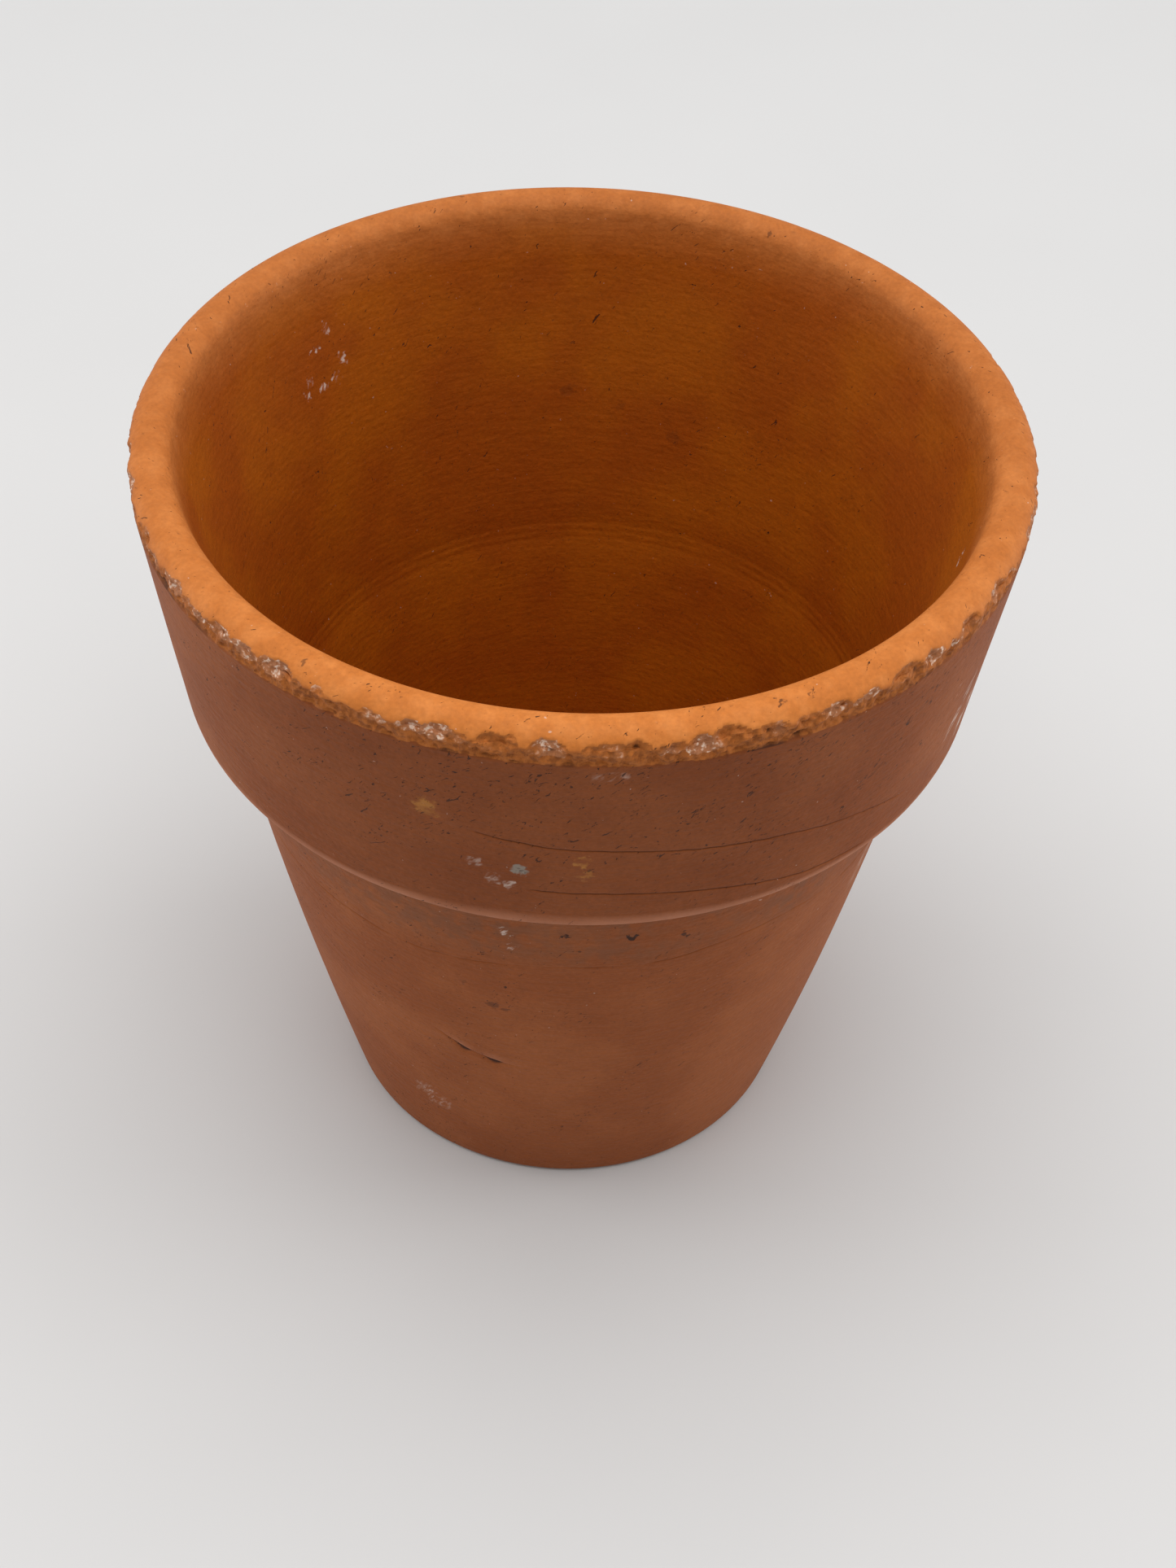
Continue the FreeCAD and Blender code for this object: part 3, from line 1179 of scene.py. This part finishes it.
@dataclass(frozen=True)
class TerracottaFinish:
    """Unglazed fired clay: weathered outside, cleaner on the lip, deep orange inside.

    Attributes:
        worn: The outside where it is most weathered.
        rosy: The outside where it is least.
        painted_front_shade: Painted shade that darkens the front of the band.
        lip: The handled lip.
        lip_pale: The lip where it is bleached.
        inner: The inside.
        inner_deep: The inside in its deeper patches.
        fracture: Freshly broken clay.
        fracture_glint: Painted glints on the broken clay.
        crumbled: The crumbled strip under the lip.
        crumbled_shade: Painted shade in that strip's hollows, laid by a noise.
        ochre: Yellow-brown spots and scrapes.
        stain: The dull grey-brown of the damp strip.
        edge_dust_and_highlight: The paler line on the rounded edge under the rim band, partly dust and
            partly painted highlight, and the painted highlight on the gouge's raised edge.
        scuff: Grey scuffs.
        salt: White salts.
        pore_and_shade: The depths of pores and cracks, and the painted shade in the broken clay's hollows,
            along the crumbled strip's foot and in the gouge.
        pore_size: Size of the fine pores, in metres.
        rag: How far the rims of small spots are shaken, in metres.
        rag_size: Size of the lumps that shake them, in metres.
        pore_shade: How fully a pore hides the clay's colour, from 0 to 1.
        pore_depth: How deep a pore is, in metres.
        tooth_size: Size of the clay's fine tooth, in metres.
        tooth_height: Height of that tooth, in metres.
        wipe_height: Height of the marks of a wet hand, in metres.
        roughness: How matt the clay is, from 0 to 1.
        roughness_change: How far that changes from the tooth's hollows to its tops.
        specular: How strong its faint gloss is; a half is that of glass.
    """

    worn: Tone = (0.258, 0.066, 0.014)
    rosy: Tone = (0.305, 0.086, 0.022)
    painted_front_shade: Tone = (0.110, 0.020, 0.001)
    lip: Tone = (0.540, 0.163, 0.028)
    lip_pale: Tone = (0.590, 0.195, 0.042)
    inner: Tone = (0.375, 0.090, 0.001)
    inner_deep: Tone = (0.320, 0.066, 0.001)
    fracture: Tone = (0.420, 0.165, 0.070)
    fracture_glint: Tone = (0.780, 0.580, 0.450)
    crumbled: Tone = (0.400, 0.120, 0.022)
    crumbled_shade: Tone = (0.240, 0.068, 0.013)
    ochre: Tone = (0.520, 0.230, 0.045)
    stain: Tone = (0.185, 0.070, 0.032)
    edge_dust_and_highlight: Tone = (0.560, 0.250, 0.150)
    scuff: Tone = (0.250, 0.200, 0.160)
    salt: Tone = (0.760, 0.640, 0.560)
    pore_and_shade: Tone = (0.042, 0.013, 0.006)
    pore_size: float = 0.62 * MM
    rag: float = 3.2 * MM
    rag_size: float = 1.1 * MM
    pore_shade: float = 0.88
    pore_depth: float = 0.10 * MM
    tooth_size: float = 0.9 * MM
    tooth_height: float = 0.13 * MM
    wipe_height: float = 0.22 * MM
    roughness: float = 0.66
    roughness_change: float = 0.2
    specular: float = 0.18

    def material(self, dabs: Iterable[tuple[Dab, Vector]]) -> bpy.types.Material:
        """Builds the material.

        The colour is laid on in coats: the outside, then the lip and the inside by their masks,
        then stains, salts and pores, and broken clay last. The relief is the fine tooth of the
        clay less its pores.

        Args:
            dabs: The small spots, each with its middle in metres.

        Returns:
            The finished material.
        """
        nodes = Nodes("terracotta")
        place = nodes.node("ShaderNodeTexCoord").outputs["Object"]
        self.add_dabs(nodes, place, dabs)
        grain = nodes.node("ShaderNodeAttribute", attribute_name=GRAIN).outputs["Vector"]
        pores = self.pores(nodes, grain)
        colour = self.whole_clay(nodes, place)
        colour = self.marks(nodes, place, grain, colour)
        colour = nodes.blend(nodes.times(pores, self.pore_shade), colour, self.pore_and_shade)
        colour = self.broken_clay(nodes, place, colour)
        # Dark marks: cracks, pores and spots, with painted shade in the broken clay's hollows, along the
        # strip's foot and in the gouge.
        colour = nodes.blend(nodes.step(nodes.mask(Mask.DARK), 0.05, 0.6), colour, self.pore_and_shade)

        tooth = nodes.noise(place, self.tooth_size, 3.0, detail=4.0)
        change = nodes.times(nodes.sum("SUBTRACT", tooth, 0.5), self.roughness_change)
        shader = nodes.shader(colour, nodes.plus(change, self.roughness))
        shader.inputs["Specular IOR Level"].default_value = self.specular
        relief = nodes.plus(nodes.times(tooth, self.tooth_height), self.wiping(nodes, place))
        relief = nodes.sum("SUBTRACT", relief, nodes.times(pores, self.pore_depth))
        bump = nodes.node("ShaderNodeBump")
        bump.inputs["Distance"].default_value = 1.0
        nodes.feed(bump.inputs["Height"], relief)
        nodes.feed(shader.inputs["Normal"], bump.outputs["Normal"])
        return nodes.material

    def add_dabs(self, nodes: Nodes, place: Socket, dabs: Iterable[tuple[Dab, Vector]]) -> None:
        """Adds every dab, at shaken places."""
        ragged = nodes.shaken(place, self.rag_size, self.rag)
        middle = Vector((self.rag / 2,) * 3)
        for dab, centre in dabs:
            nodes.dab(dab.mask, ragged, centre + middle, dab.size * MM, dab.strength)

    def wiping(self, nodes: Nodes, place: Socket) -> Socket:
        """The faint level marks of a wet hand on the turning clay, as heights in metres."""
        stretch = nodes.node("ShaderNodeMapping")
        stretch.inputs["Scale"].default_value = (1.0, 1.0, 5.0)
        nodes.feed(stretch.inputs["Vector"], place)
        lines = nodes.noise(stretch.outputs[0], 5.0 * MM, 31.0, detail=3.0)
        rough_only = nodes.sum("SUBTRACT", 1.0, nodes.times(nodes.mask(Mask.LIP), 0.8))
        return nodes.times(nodes.times(lines, self.wipe_height), rough_only)

    def pores(self, nodes: Nodes, grain: Socket) -> Socket:
        """Fine slanting pores, thick in some patches and thin in others, from 0 to 1."""
        bent = nodes.shaken(grain, 2.4 * MM, 5.0 * MM)
        fine = nodes.noise(bent, self.pore_size, 1.0, detail=2.5)
        thick = nodes.noise(grain, 7.0 * MM, 5.0, detail=3.0)
        crowd = nodes.times(nodes.sum("SUBTRACT", thick, 0.5), 0.25)
        porous = nodes.times(nodes.mask(Mask.POROUS), 0.05)
        tall = nodes.plus(nodes.plus(fine, crowd), porous)
        return nodes.step(tall, 0.695, 0.730)

    def whole_clay(self, nodes: Nodes, place: Socket) -> Socket:
        """The unbroken clay: outside, lip and inside, each mottled at three sizes."""
        broad = nodes.patches(place, 20.0 * MM, 7.0, 0.36, 0.64)
        small = nodes.noise(place, 3.0 * MM, 11.0, detail=3.0)
        fine = nodes.noise(place, 0.6 * MM, 13.0)
        colour = nodes.blend(broad, self.worn, self.rosy)
        # Painted shade on the band's front.
        painted_front_shade = nodes.times(nodes.mask(Mask.PAINTED_FRONT_SHADE), 0.4)
        colour = nodes.blend(painted_front_shade, colour, self.painted_front_shade)
        lip = nodes.blend(nodes.step(small, 0.38, 0.72), self.lip, self.lip_pale)
        inner = nodes.blend(broad, self.inner_deep, self.inner)
        colour = nodes.blend(nodes.mask(Mask.LIP), colour, lip)
        colour = nodes.blend(nodes.mask(Mask.INNER), colour, inner)
        mottle = nodes.plus(nodes.times(small, 0.22), nodes.times(fine, 0.44))
        return nodes.scaled(colour, nodes.plus(mottle, 0.67))

    def marks(self, nodes: Nodes, place: Socket, grain: Socket, colour: Socket) -> Socket:
        """Lays the damp stain, ochre spots and white salts over the clay."""
        patchy = nodes.patches(place, 2.2 * MM, 17.0, 0.34, 0.62, detail=4.0)
        specks = nodes.patches(place, 0.75 * MM, 19.0, 0.73, 0.78)
        streaks = nodes.patches(grain, 0.9 * MM, 23.0, 0.44, 0.66, detail=4.0)
        salt = nodes.times(nodes.times(nodes.mask(Mask.SALT), streaks), 0.75)
        coats = (
            (nodes.times(nodes.mask(Mask.STAIN), nodes.times(patchy, 0.75)), self.stain),
            (nodes.times(nodes.mask(Mask.OCHRE), patchy), self.ochre),
            (nodes.sum("MAXIMUM", salt, nodes.times(specks, 0.35)), self.salt),
            # Pale edges: partly dust, partly painted highlight.
            (nodes.times(nodes.mask(Mask.EDGE_DUST_AND_HIGHLIGHT), 0.55), self.edge_dust_and_highlight),
            (nodes.mask(Mask.SCUFF), self.scuff),
        )
        for share, tone in coats:
            colour = nodes.blend(share, colour, tone)
        return colour

    def broken_clay(self, nodes: Nodes, place: Socket, colour: Socket) -> Socket:
        """Lays the crumbled strip and the chips' grainy pinkish clay over the rest, with painted shade in
        the strip and painted glints on the chips.
        """
        grit = nodes.noise(place, 0.7 * MM, 29.0, detail=4.0)
        fresh = nodes.patches(place, 5.0 * MM, 37.0, 0.44, 0.62)
        # Painted highlight: pale glints where the grit noise is high.
        glints = nodes.times(fresh, nodes.step(grit, 0.52, 0.66))
        # Painted shade: a darker strip tone where the grit noise is low.
        strip = nodes.blend(nodes.step(grit, 0.34, 0.60), self.crumbled_shade, self.crumbled)
        chip = nodes.blend(fresh, self.crumbled, self.fracture)
        chip = nodes.scaled(chip, nodes.plus(nodes.times(grit, 1.3), 0.32))
        chip = nodes.blend(glints, chip, self.fracture_glint)
        for mask, coat in ((Mask.CRUMBLED, strip), (Mask.BROKEN, chip)):
            shaken = nodes.plus(nodes.mask(mask), nodes.times(grit, 0.8))
            colour = nodes.blend(nodes.step(shaken, 0.68, 1.0), colour, coat)
        return colour


# ---------------------------------------------------------------- the pot

UPPER_CRACK = Guide(
    Side.BAND,
    ((-12, 116.5), (-3, 114.7), (10, 113.4), (28, 110.6), (40, 107.2), (52, 103.1)),
)
LOWER_CRACK = Guide(
    Side.BAND,
    ((-5.5, 104.2), (11, 103.3), (22, 101.2), (32.5, 98.5), (43.6, 97.6)),
)
SCRIBED_LINE = Guide(
    Side.WALL,
    (
        (-180, 74.6), (-120, 75.4), (-80, 74.0), (-40, 72.9), (-23, 72.6), (-4, 75.3), (17, 75.4),
        (25, 76.5), (36, 76.9), (50, 75.7), (90, 74.4), (135, 75.2), (180, 74.6),
    ),
)
GOUGE_LINE = Guide(
    Side.WALL,
    ((-25, 47.6), (-21.5, 45.6), (-18.5, 43.8), (-14.5, 42.5), (-11, 41.7), (-7.5, 41.1)),
    offsets=(-2.6, -2.0, -1.45, -1.0, -0.65, -0.3, 0.0, 0.18, 0.5),
)
TURNING_RINGS = Guide(
    Side.INSIDE,
    tuple((bearing, 77.3 + 1.2 * math.sin(math.radians(bearing))) for bearing in range(-180, 181, 15)),
    offsets=(-1.8, -1.5, -1.2, -0.3, 0.0, 0.3, 1.2, 1.5, 1.8),
    wander=0.05,
)
GUIDES = [UPPER_CRACK, LOWER_CRACK, SCRIBED_LINE, GOUGE_LINE, TURNING_RINGS]

# The large chips of the lip's edge, from left to right: bearing, rise, half length and width, depth
LIP_CHIPS = tuple(
    Chip(*row)
    for row in (
        (-124, 0.1, 3.4, 1.5, 1.0), (-108, 0.2, 2.6, 1.6, 0.9), (-56, 0.0, 2.6, 1.3, 0.8),
        (-36, 0.3, 3.6, 1.7, 1.15), (-18, 0.1, 1.6, 1.3, 0.8), (-15, 0.0, 1.3, 1.1, 0.7),
        (-12.6, 0.1, 1.2, 1.2, 0.7), (-8, 0.2, 2.2, 1.7, 0.95), (-3, 0.2, 1.8, 1.7, 0.9),
        (3, 0.0, 1.9, 1.3, 0.8), (12, 0.0, 1.6, 1.2, 0.75), (15, 0.2, 1.9, 1.6, 0.95),
        (18.6, 0.5, 2.5, 2.0, 1.25), (24, 0.0, 2.1, 1.4, 0.8), (31.5, 0.0, 2.4, 1.3, 0.8),
        (36.6, 0.0, 1.6, 1.2, 0.7), (41, 0.1, 1.9, 1.3, 0.8), (46.6, 0.1, 2.2, 1.4, 0.9),
        (54, 0.3, 2.4, 1.6, 1.0), (61, 0.4, 2.6, 1.7, 1.05), (112, 0.2, 3.0, 1.6, 1.0),
        (133, 0.1, 2.2, 1.4, 0.9), (168, 0.3, 3.2, 1.7, 1.1),
    )
)

# Large marks that each have a place of their own
MARKS = (
    Patch(Mask.STAIN, Side.WALL, 8, 89.5, 11.0, 4.0),
    Patch(Mask.STAIN, Side.WALL, 24, 89.0, 8.0, 4.5),
    Patch(Mask.STAIN, Side.WALL, 12, 80.5, 10.0, 3.0, 0.0, 0.7),
    Patch(Mask.SALT, Side.BAND, 62, 112.0, 7.0, 1.4, 62.0),
    Patch(Mask.SALT, Side.BAND, 67, 108.0, 9.0, 1.8, 62.0),
    Patch(Mask.SALT, Side.BAND, 73, 110.0, 8.0, 1.6, 60.0, 0.9),
    Patch(Mask.SALT, Side.BAND, 5, 131.0, 2.6, 1.0, 5.0, 0.6),
    Patch(Mask.SALT, Side.WALL, 64, 72.0, 9.0, 2.4, 70.0, 0.5),
    Patch(Mask.SALT, Side.WALL, -30, 19.2, 4.6, 2.0, -35.0, 0.7),
)


def spots(mask: Mask, side: Side, *rows: tuple[float, ...]) -> list[Dab]:
    """Several dabs of one mask on one side; a row is a bearing, a height, a size and a strength."""
    return [Dab(mask, side, *row) for row in rows]


# Small spots that each have a place of their own
DABS = (
    *spots(Mask.OCHRE, Side.BAND, (-17, 119.6, 2.4, 0.5), (2, 111.7, 1.7, 0.8), (2.5, 108.4, 1.4, 0.7)),
    *spots(Mask.SCUFF, Side.BAND, (-5.5, 108.9, 1.5, 1.0)),
    *spots(Mask.DARK, Side.BAND, (-5.2, 108.6, 0.8, 0.3)),
    *spots(
        Mask.SALT, Side.BAND,
        (-11.5, 109.0, 1.6, 0.4), (-9, 106.2, 1.5, 0.5), (-7, 105.0, 1.3, 0.6),
    ),
    *spots(
        Mask.DARK, Side.WALL,
        (10.3, 83.5, 1.1, 0.8), (0.3, 84.3, 0.9, 0.5), (2.5, 80.0, 0.8, 0.4), (19, 82.0, 0.9, 0.45),
        (-12, 61.2, 1.3, 0.32), (-9.5, 60.2, 1.1, 0.32), (-17, 66.0, 0.9, 0.25),
    ),
    *spots(Mask.SALT, Side.WALL, (-9, 84.2, 1.3, 1.0), (-8, 80.0, 1.2, 1.0)),
    *spots(
        Mask.DARK, Side.OUTER_LIP,
        (25, 138.9, 0.8, 0.4), (29, 138.8, 0.7, 0.35), (-33, 138.7, 0.8, 0.35), (-160, 138.9, 0.9, 0.3),
    ),
    *spots(Mask.DARK, Side.INNER_LIP, (152, 137.9, 1.0, 0.35)),
    *spots(Mask.SALT, Side.OUTER_LIP, (-2, 138.6, 0.5, 0.5)),
    *spots(
        Mask.SALT, Side.INSIDE,
        (-132, 125.9, 1.1, 1.0), (-129, 123.7, 1.0, 1.0), (-134, 119.8, 1.2, 1.0), (-132, 116.8, 1.1, 1.0),
        (-129, 116.6, 1.1, 1.0), (-126, 119.0, 1.0, 1.0), (-125, 116.8, 1.0, 1.0), (79, 125.4, 1.0, 1.0),
        (79, 123.8, 0.9, 1.0),
    ),
    *spots(
        Mask.DARK, Side.INSIDE,
        (-176, 104.6, 1.8, 0.22), (163, 97.6, 1.9, 0.22), (174, 102.0, 1.6, 0.2),
    ),
)


@dataclass
class FlowerPot:
    """The whole pot: one pressed and fired piece of clay.

    Attributes:
        section: Its half section.
        finish: The clay's finish.
        name: The piece's name.
        lean: How steeply its pores climb to the right, in radians.
        drawn: How much longer than wide its pores are drawn.
    """

    section: Section
    finish: TerracottaFinish
    name: str = "pot_clay"
    lean: float = math.radians(50.0)
    drawn: float = 0.65

    def courses(self, trace: Trace) -> list[Course]:
        """Shares out the rows: fine at the broken edge, coarse where nothing much shows."""
        foot = trace.spans[Side.WALL][0]
        gouge = float(trace.along_at(Side.WALL, np.array(GOUGE_LINE.rest)))
        gouge_low, gouge_high = gouge - 4.0 * MM, gouge + 4.0 * MM
        neck = trace.spans[Side.WALL][1] - 4.0 * MM
        edge = trace.corner(Side.BAND)
        crest = trace.corner(Side.OUTER_LIP)
        mouth = trace.corner(Side.INNER_LIP)
        return [
            Course(0.0, foot, Ring.COARSE, 4.5 * MM),
            Course(foot, gouge_low, Ring.COARSE, 2.8 * MM),
            Course(gouge_low, gouge_high, Ring.MIDDLE, 1.6 * MM),
            Course(gouge_high, neck, Ring.COARSE, 2.8 * MM),
            Course(neck, edge - 5.0 * MM, Ring.MIDDLE, 1.1 * MM),
            Course(edge - 5.0 * MM, crest + 0.8 * MM, Ring.FINE, 0.36 * MM),
            Course(crest + 0.8 * MM, mouth + 3.0 * MM, Ring.MIDDLE, 0.7 * MM),
            Course(mouth + 3.0 * MM, trace.length, Ring.COARSE, 4.6 * MM),
        ]

    def wear(self, trace: Trace) -> list[Wear]:
        """Lists everything that has happened to the clay."""
        band_start, edge = trace.spans[Side.BAND][0], trace.corner(Side.BAND)
        wall_start, wall_end = trace.spans[Side.WALL]
        crest = trace.corner(Side.OUTER_LIP)
        return [
            PressedClay(),
            BrokenEdge(LIP_CHIPS),
            Crack(UPPER_CRACK),
            Crack(LOWER_CRACK),
            Crack(SCRIBED_LINE, depth=0.22 * MM, darkness=0.42, closed=-0.1),
            *(
                Crack(TURNING_RINGS, 0.05 * MM, 0.3 * MM, darkness=0.0, offset=offset * MM)
                for offset in (-1.5, 0.0, 1.5)
            ),
            Gouge(GOUGE_LINE),
            Pocks(band_start, edge - 4.0 * MM, 110, 1.3 * MM, 0.14 * MM, seed=3),
            Pocks(edge + 1.5 * MM, crest + 1.5 * MM, 60, 0.45 * MM, 0.22 * MM, seed=7, darkness=0.3),
            Pocks(wall_start, wall_end, 70, 2.0 * MM, 0.12 * MM, seed=13),
            *MARKS,
            ClayTones(),
        ]

    def back_dabs(self) -> list[Dab]:
        """Scatters spots like the front's over the sides and the back."""
        dice = np.random.default_rng(21)
        heights = {Side.BAND: (98.0, 130.0), Side.WALL: (10.0, 90.0)}
        kinds = ((Mask.OCHRE, 6, 0.85), (Mask.SALT, 12, 0.85), (Mask.DARK, 10, 0.35))
        dabs = []
        for mask, count, strength in kinds:
            for _ in range(count):
                side = Side.BAND if dice.uniform() < 0.55 else Side.WALL
                bearing = (dice.uniform(75.0, 285.0) + 180.0) % 360.0 - 180.0
                height = dice.uniform(*heights[side])
                size = dice.uniform(0.8, 1.9)
                dabs.append(Dab(mask, side, bearing, height, size, strength))
        return dabs

    def build(self) -> bpy.types.Object:
        """Lays out the skin, wears it and makes the piece.

        Returns:
            The pot's object, riding on its body in place of its CAD node.
        """
        trace = self.section.trace()
        skin = Skin(trace, self.courses(trace), GUIDES)
        for wear in self.wear(trace):
            wear.cut(skin)
        mesh = self.mesh(skin)
        pot = add_object(self.name, mesh)
        dabs = [(dab, dab.centre(trace)) for dab in (*DABS, *self.back_dabs())]
        mesh.materials.append(self.finish.material(dabs))
        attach(pot, BODY)
        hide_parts(CAD_NODE)
        triangles = sum(len(face.vertices) - 2 for face in mesh.polygons)
        log.info("%s: %d points, %d triangles", self.name, len(mesh.vertices), triangles)
        return pot

    def mesh(self, skin: Skin) -> bpy.types.Mesh:
        """Puts the skin's points, faces and masks into a mesh.

        Args:
            skin: The worn skin.

        Returns:
            The mesh, smooth but for its broken faces, which are flat so that they look grainy.
        """
        squares, triangles = skin.faces()
        corners = np.concatenate([squares.ravel(), triangles.ravel()]).astype(np.int32)
        sizes = np.concatenate([np.full(len(squares), 4), np.full(len(triangles), 3)])
        starts = np.concatenate([[0], np.cumsum(sizes)[:-1]])
        points = skin.points()
        mesh = bpy.data.meshes.new(self.name)
        mesh.vertices.add(len(points))
        mesh.vertices.foreach_set("co", points.ravel())
        mesh.loops.add(len(corners))
        mesh.loops.foreach_set("vertex_index", corners)
        mesh.polygons.add(len(sizes))
        mesh.polygons.foreach_set("loop_start", starts.astype(np.int32))
        broken = np.maximum(skin.masks[Mask.BROKEN], skin.masks[Mask.CRUMBLED])
        whole = np.minimum.reduceat(broken[corners], starts) < 0.6
        mesh.polygons.foreach_set("use_smooth", whole)
        for mask, strength in skin.masks.items():
            layer = mesh.attributes.new(mask.value, "FLOAT", "POINT")
            layer.data.foreach_set("value", strength)
        layer = mesh.attributes.new(GRAIN, "FLOAT_VECTOR", "POINT")
        layer.data.foreach_set("vector", self.grain(skin).ravel())
        mesh.update()
        mesh.validate()
        return mesh

    def grain(self, skin: Skin) -> np.ndarray:
        """Places that draw a noise out along the clay's slant.

        The surface is unrolled onto a round of the rim's radius, whose angle falls behind by the
        distance walked over the radius times the tangent of the slant. Up the slant only the
        third coordinate changes, and it is shortened, so a noise there is drawn out.

        Args:
            skin: The skin whose points are placed.

        Returns:
            One place in metres for each point.
        """
        around = self.section.rim_radius
        angle = skin.bearing - skin.along / (around * math.tan(self.lean))
        return np.stack(
            [around * np.cos(angle), around * np.sin(angle), self.drawn * skin.along], axis=1
        )


# ---------------------------------------------------------------- the studio


@dataclass(frozen=True)
class Lamp:
    """A square soft light that points at the pot.

    Attributes:
        name: What it is called.
        place: Where it hangs, in metres.
        size: Its side in metres.
        power: Its power in watts.
    """

    name: str
    place: tuple[float, float, float]
    size: float
    power: float

    def hang(self, target: Vector) -> None:
        """Makes the light and turns it towards the target."""
        data = bpy.data.lights.new(self.name, "AREA")
        data.size = self.size
        data.energy = self.power
        lamp = add_object(self.name, data)
        lamp.location = self.place
        lamp.rotation_euler = (target - lamp.location).to_track_quat("-Z", "Y").to_euler()


@dataclass(frozen=True)
class Studio:
    """A pale floor, soft light and the camera.

    Attributes:
        floor_side: The floor's side in metres.
        floor_tone: The floor's colour.
        sky_tone: The light that comes from all round.
        aim: The point that the camera looks at, in metres.
        elevation: How far the camera looks down, in degrees.
        distance: How far the camera stands from its aim, in metres.
        roll: How far the camera is tipped to one side, in radians.
        lens: Its focal length in millimetres, on a sensor 36 mm high.
        lamps: The soft lights.
    """

    floor_side: float = 4.0
    floor_tone: Tone = (0.62, 0.615, 0.61)
    sky_tone: Tone = (0.50, 0.50, 0.50)
    aim: tuple[float, float, float] = (2.76 * MM, 0.0, 59.7 * MM)
    elevation: float = 45.38
    distance: float = 0.4187
    roll: float = 0.0406
    lens: float = 54.18
    lamps: tuple[Lamp, ...] = (
        Lamp("softbox_above", (0.0, -0.02, 1.40), 1.5, 17.0),
        Lamp("softbox_left", (-1.2, 0.2, 0.34), 0.6, 4.0),
        Lamp("softbox_right", (1.2, 0.2, 0.34), 0.6, 4.6),
    )

    def build(self) -> None:
        """Lays the floor, lights the scene and sets the camera."""
        self.lay_floor()
        self.light()
        self.set_camera()
        bpy.context.scene.view_settings.view_transform = "Standard"
        log.info("studio: floor, %d lamps and camera", len(self.lamps))

    def lay_floor(self) -> None:
        """Makes a flat floor, level with the pot's foot."""
        half = self.floor_side / 2
        corners = [(-half, -half, 0.0), (half, -half, 0.0), (half, half, 0.0), (-half, half, 0.0)]
        mesh = bpy.data.meshes.new("floor")
        mesh.from_pydata(corners, [], [(0, 1, 2, 3)])
        floor = add_object("floor", mesh)
        nodes = Nodes("floor")
        place = nodes.node("ShaderNodeTexCoord").outputs["Object"]
        mottle = nodes.noise(place, 60.0 * MM, 1.0)
        tone = nodes.scaled(self.floor_tone, nodes.plus(nodes.times(mottle, 0.04), 0.98))
        nodes.shader(tone, 0.9)
        mesh.materials.append(nodes.material)

    def light(self) -> None:
        """Hangs the lamps and sets the light from all round."""
        for lamp in self.lamps:
            lamp.hang(Vector(self.aim))
        world = bpy.data.worlds.new("studio")
        world.use_nodes = True
        sky = next(n for n in world.node_tree.nodes if n.type == "BACKGROUND")
        sky.inputs["Color"].default_value = (*self.sky_tone, 1.0)
        bpy.context.scene.world = world

    def set_camera(self) -> None:
        """Stands the camera in front of the pot, looking down at it."""
        data = bpy.data.cameras.new("camera")
        data.lens = self.lens
        data.sensor_width = 36.0
        camera = add_object("camera", data)
        down = math.radians(self.elevation)
        back = Vector((0.0, -math.cos(down), math.sin(down)))
        place = Matrix.Translation(Vector(self.aim) + back * self.distance)
        tilt = Matrix.Rotation(math.pi / 2 - down, 4, "X")
        camera.matrix_world = place @ tilt @ Matrix.Rotation(self.roll, 4, "Z")
        bpy.context.scene.camera = camera


def main() -> None:
    """Builds the pot and the studio."""
    logging.basicConfig(level=logging.INFO, format="%(name)s: %(message)s")
    low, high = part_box(CAD_NODE)
    section = Section(height=high[2], rim_radius=(high[0] - low[0]) / 2)
    FlowerPot(section, TerracottaFinish()).build()
    Studio().build()


if __name__ == "__main__":
    main()
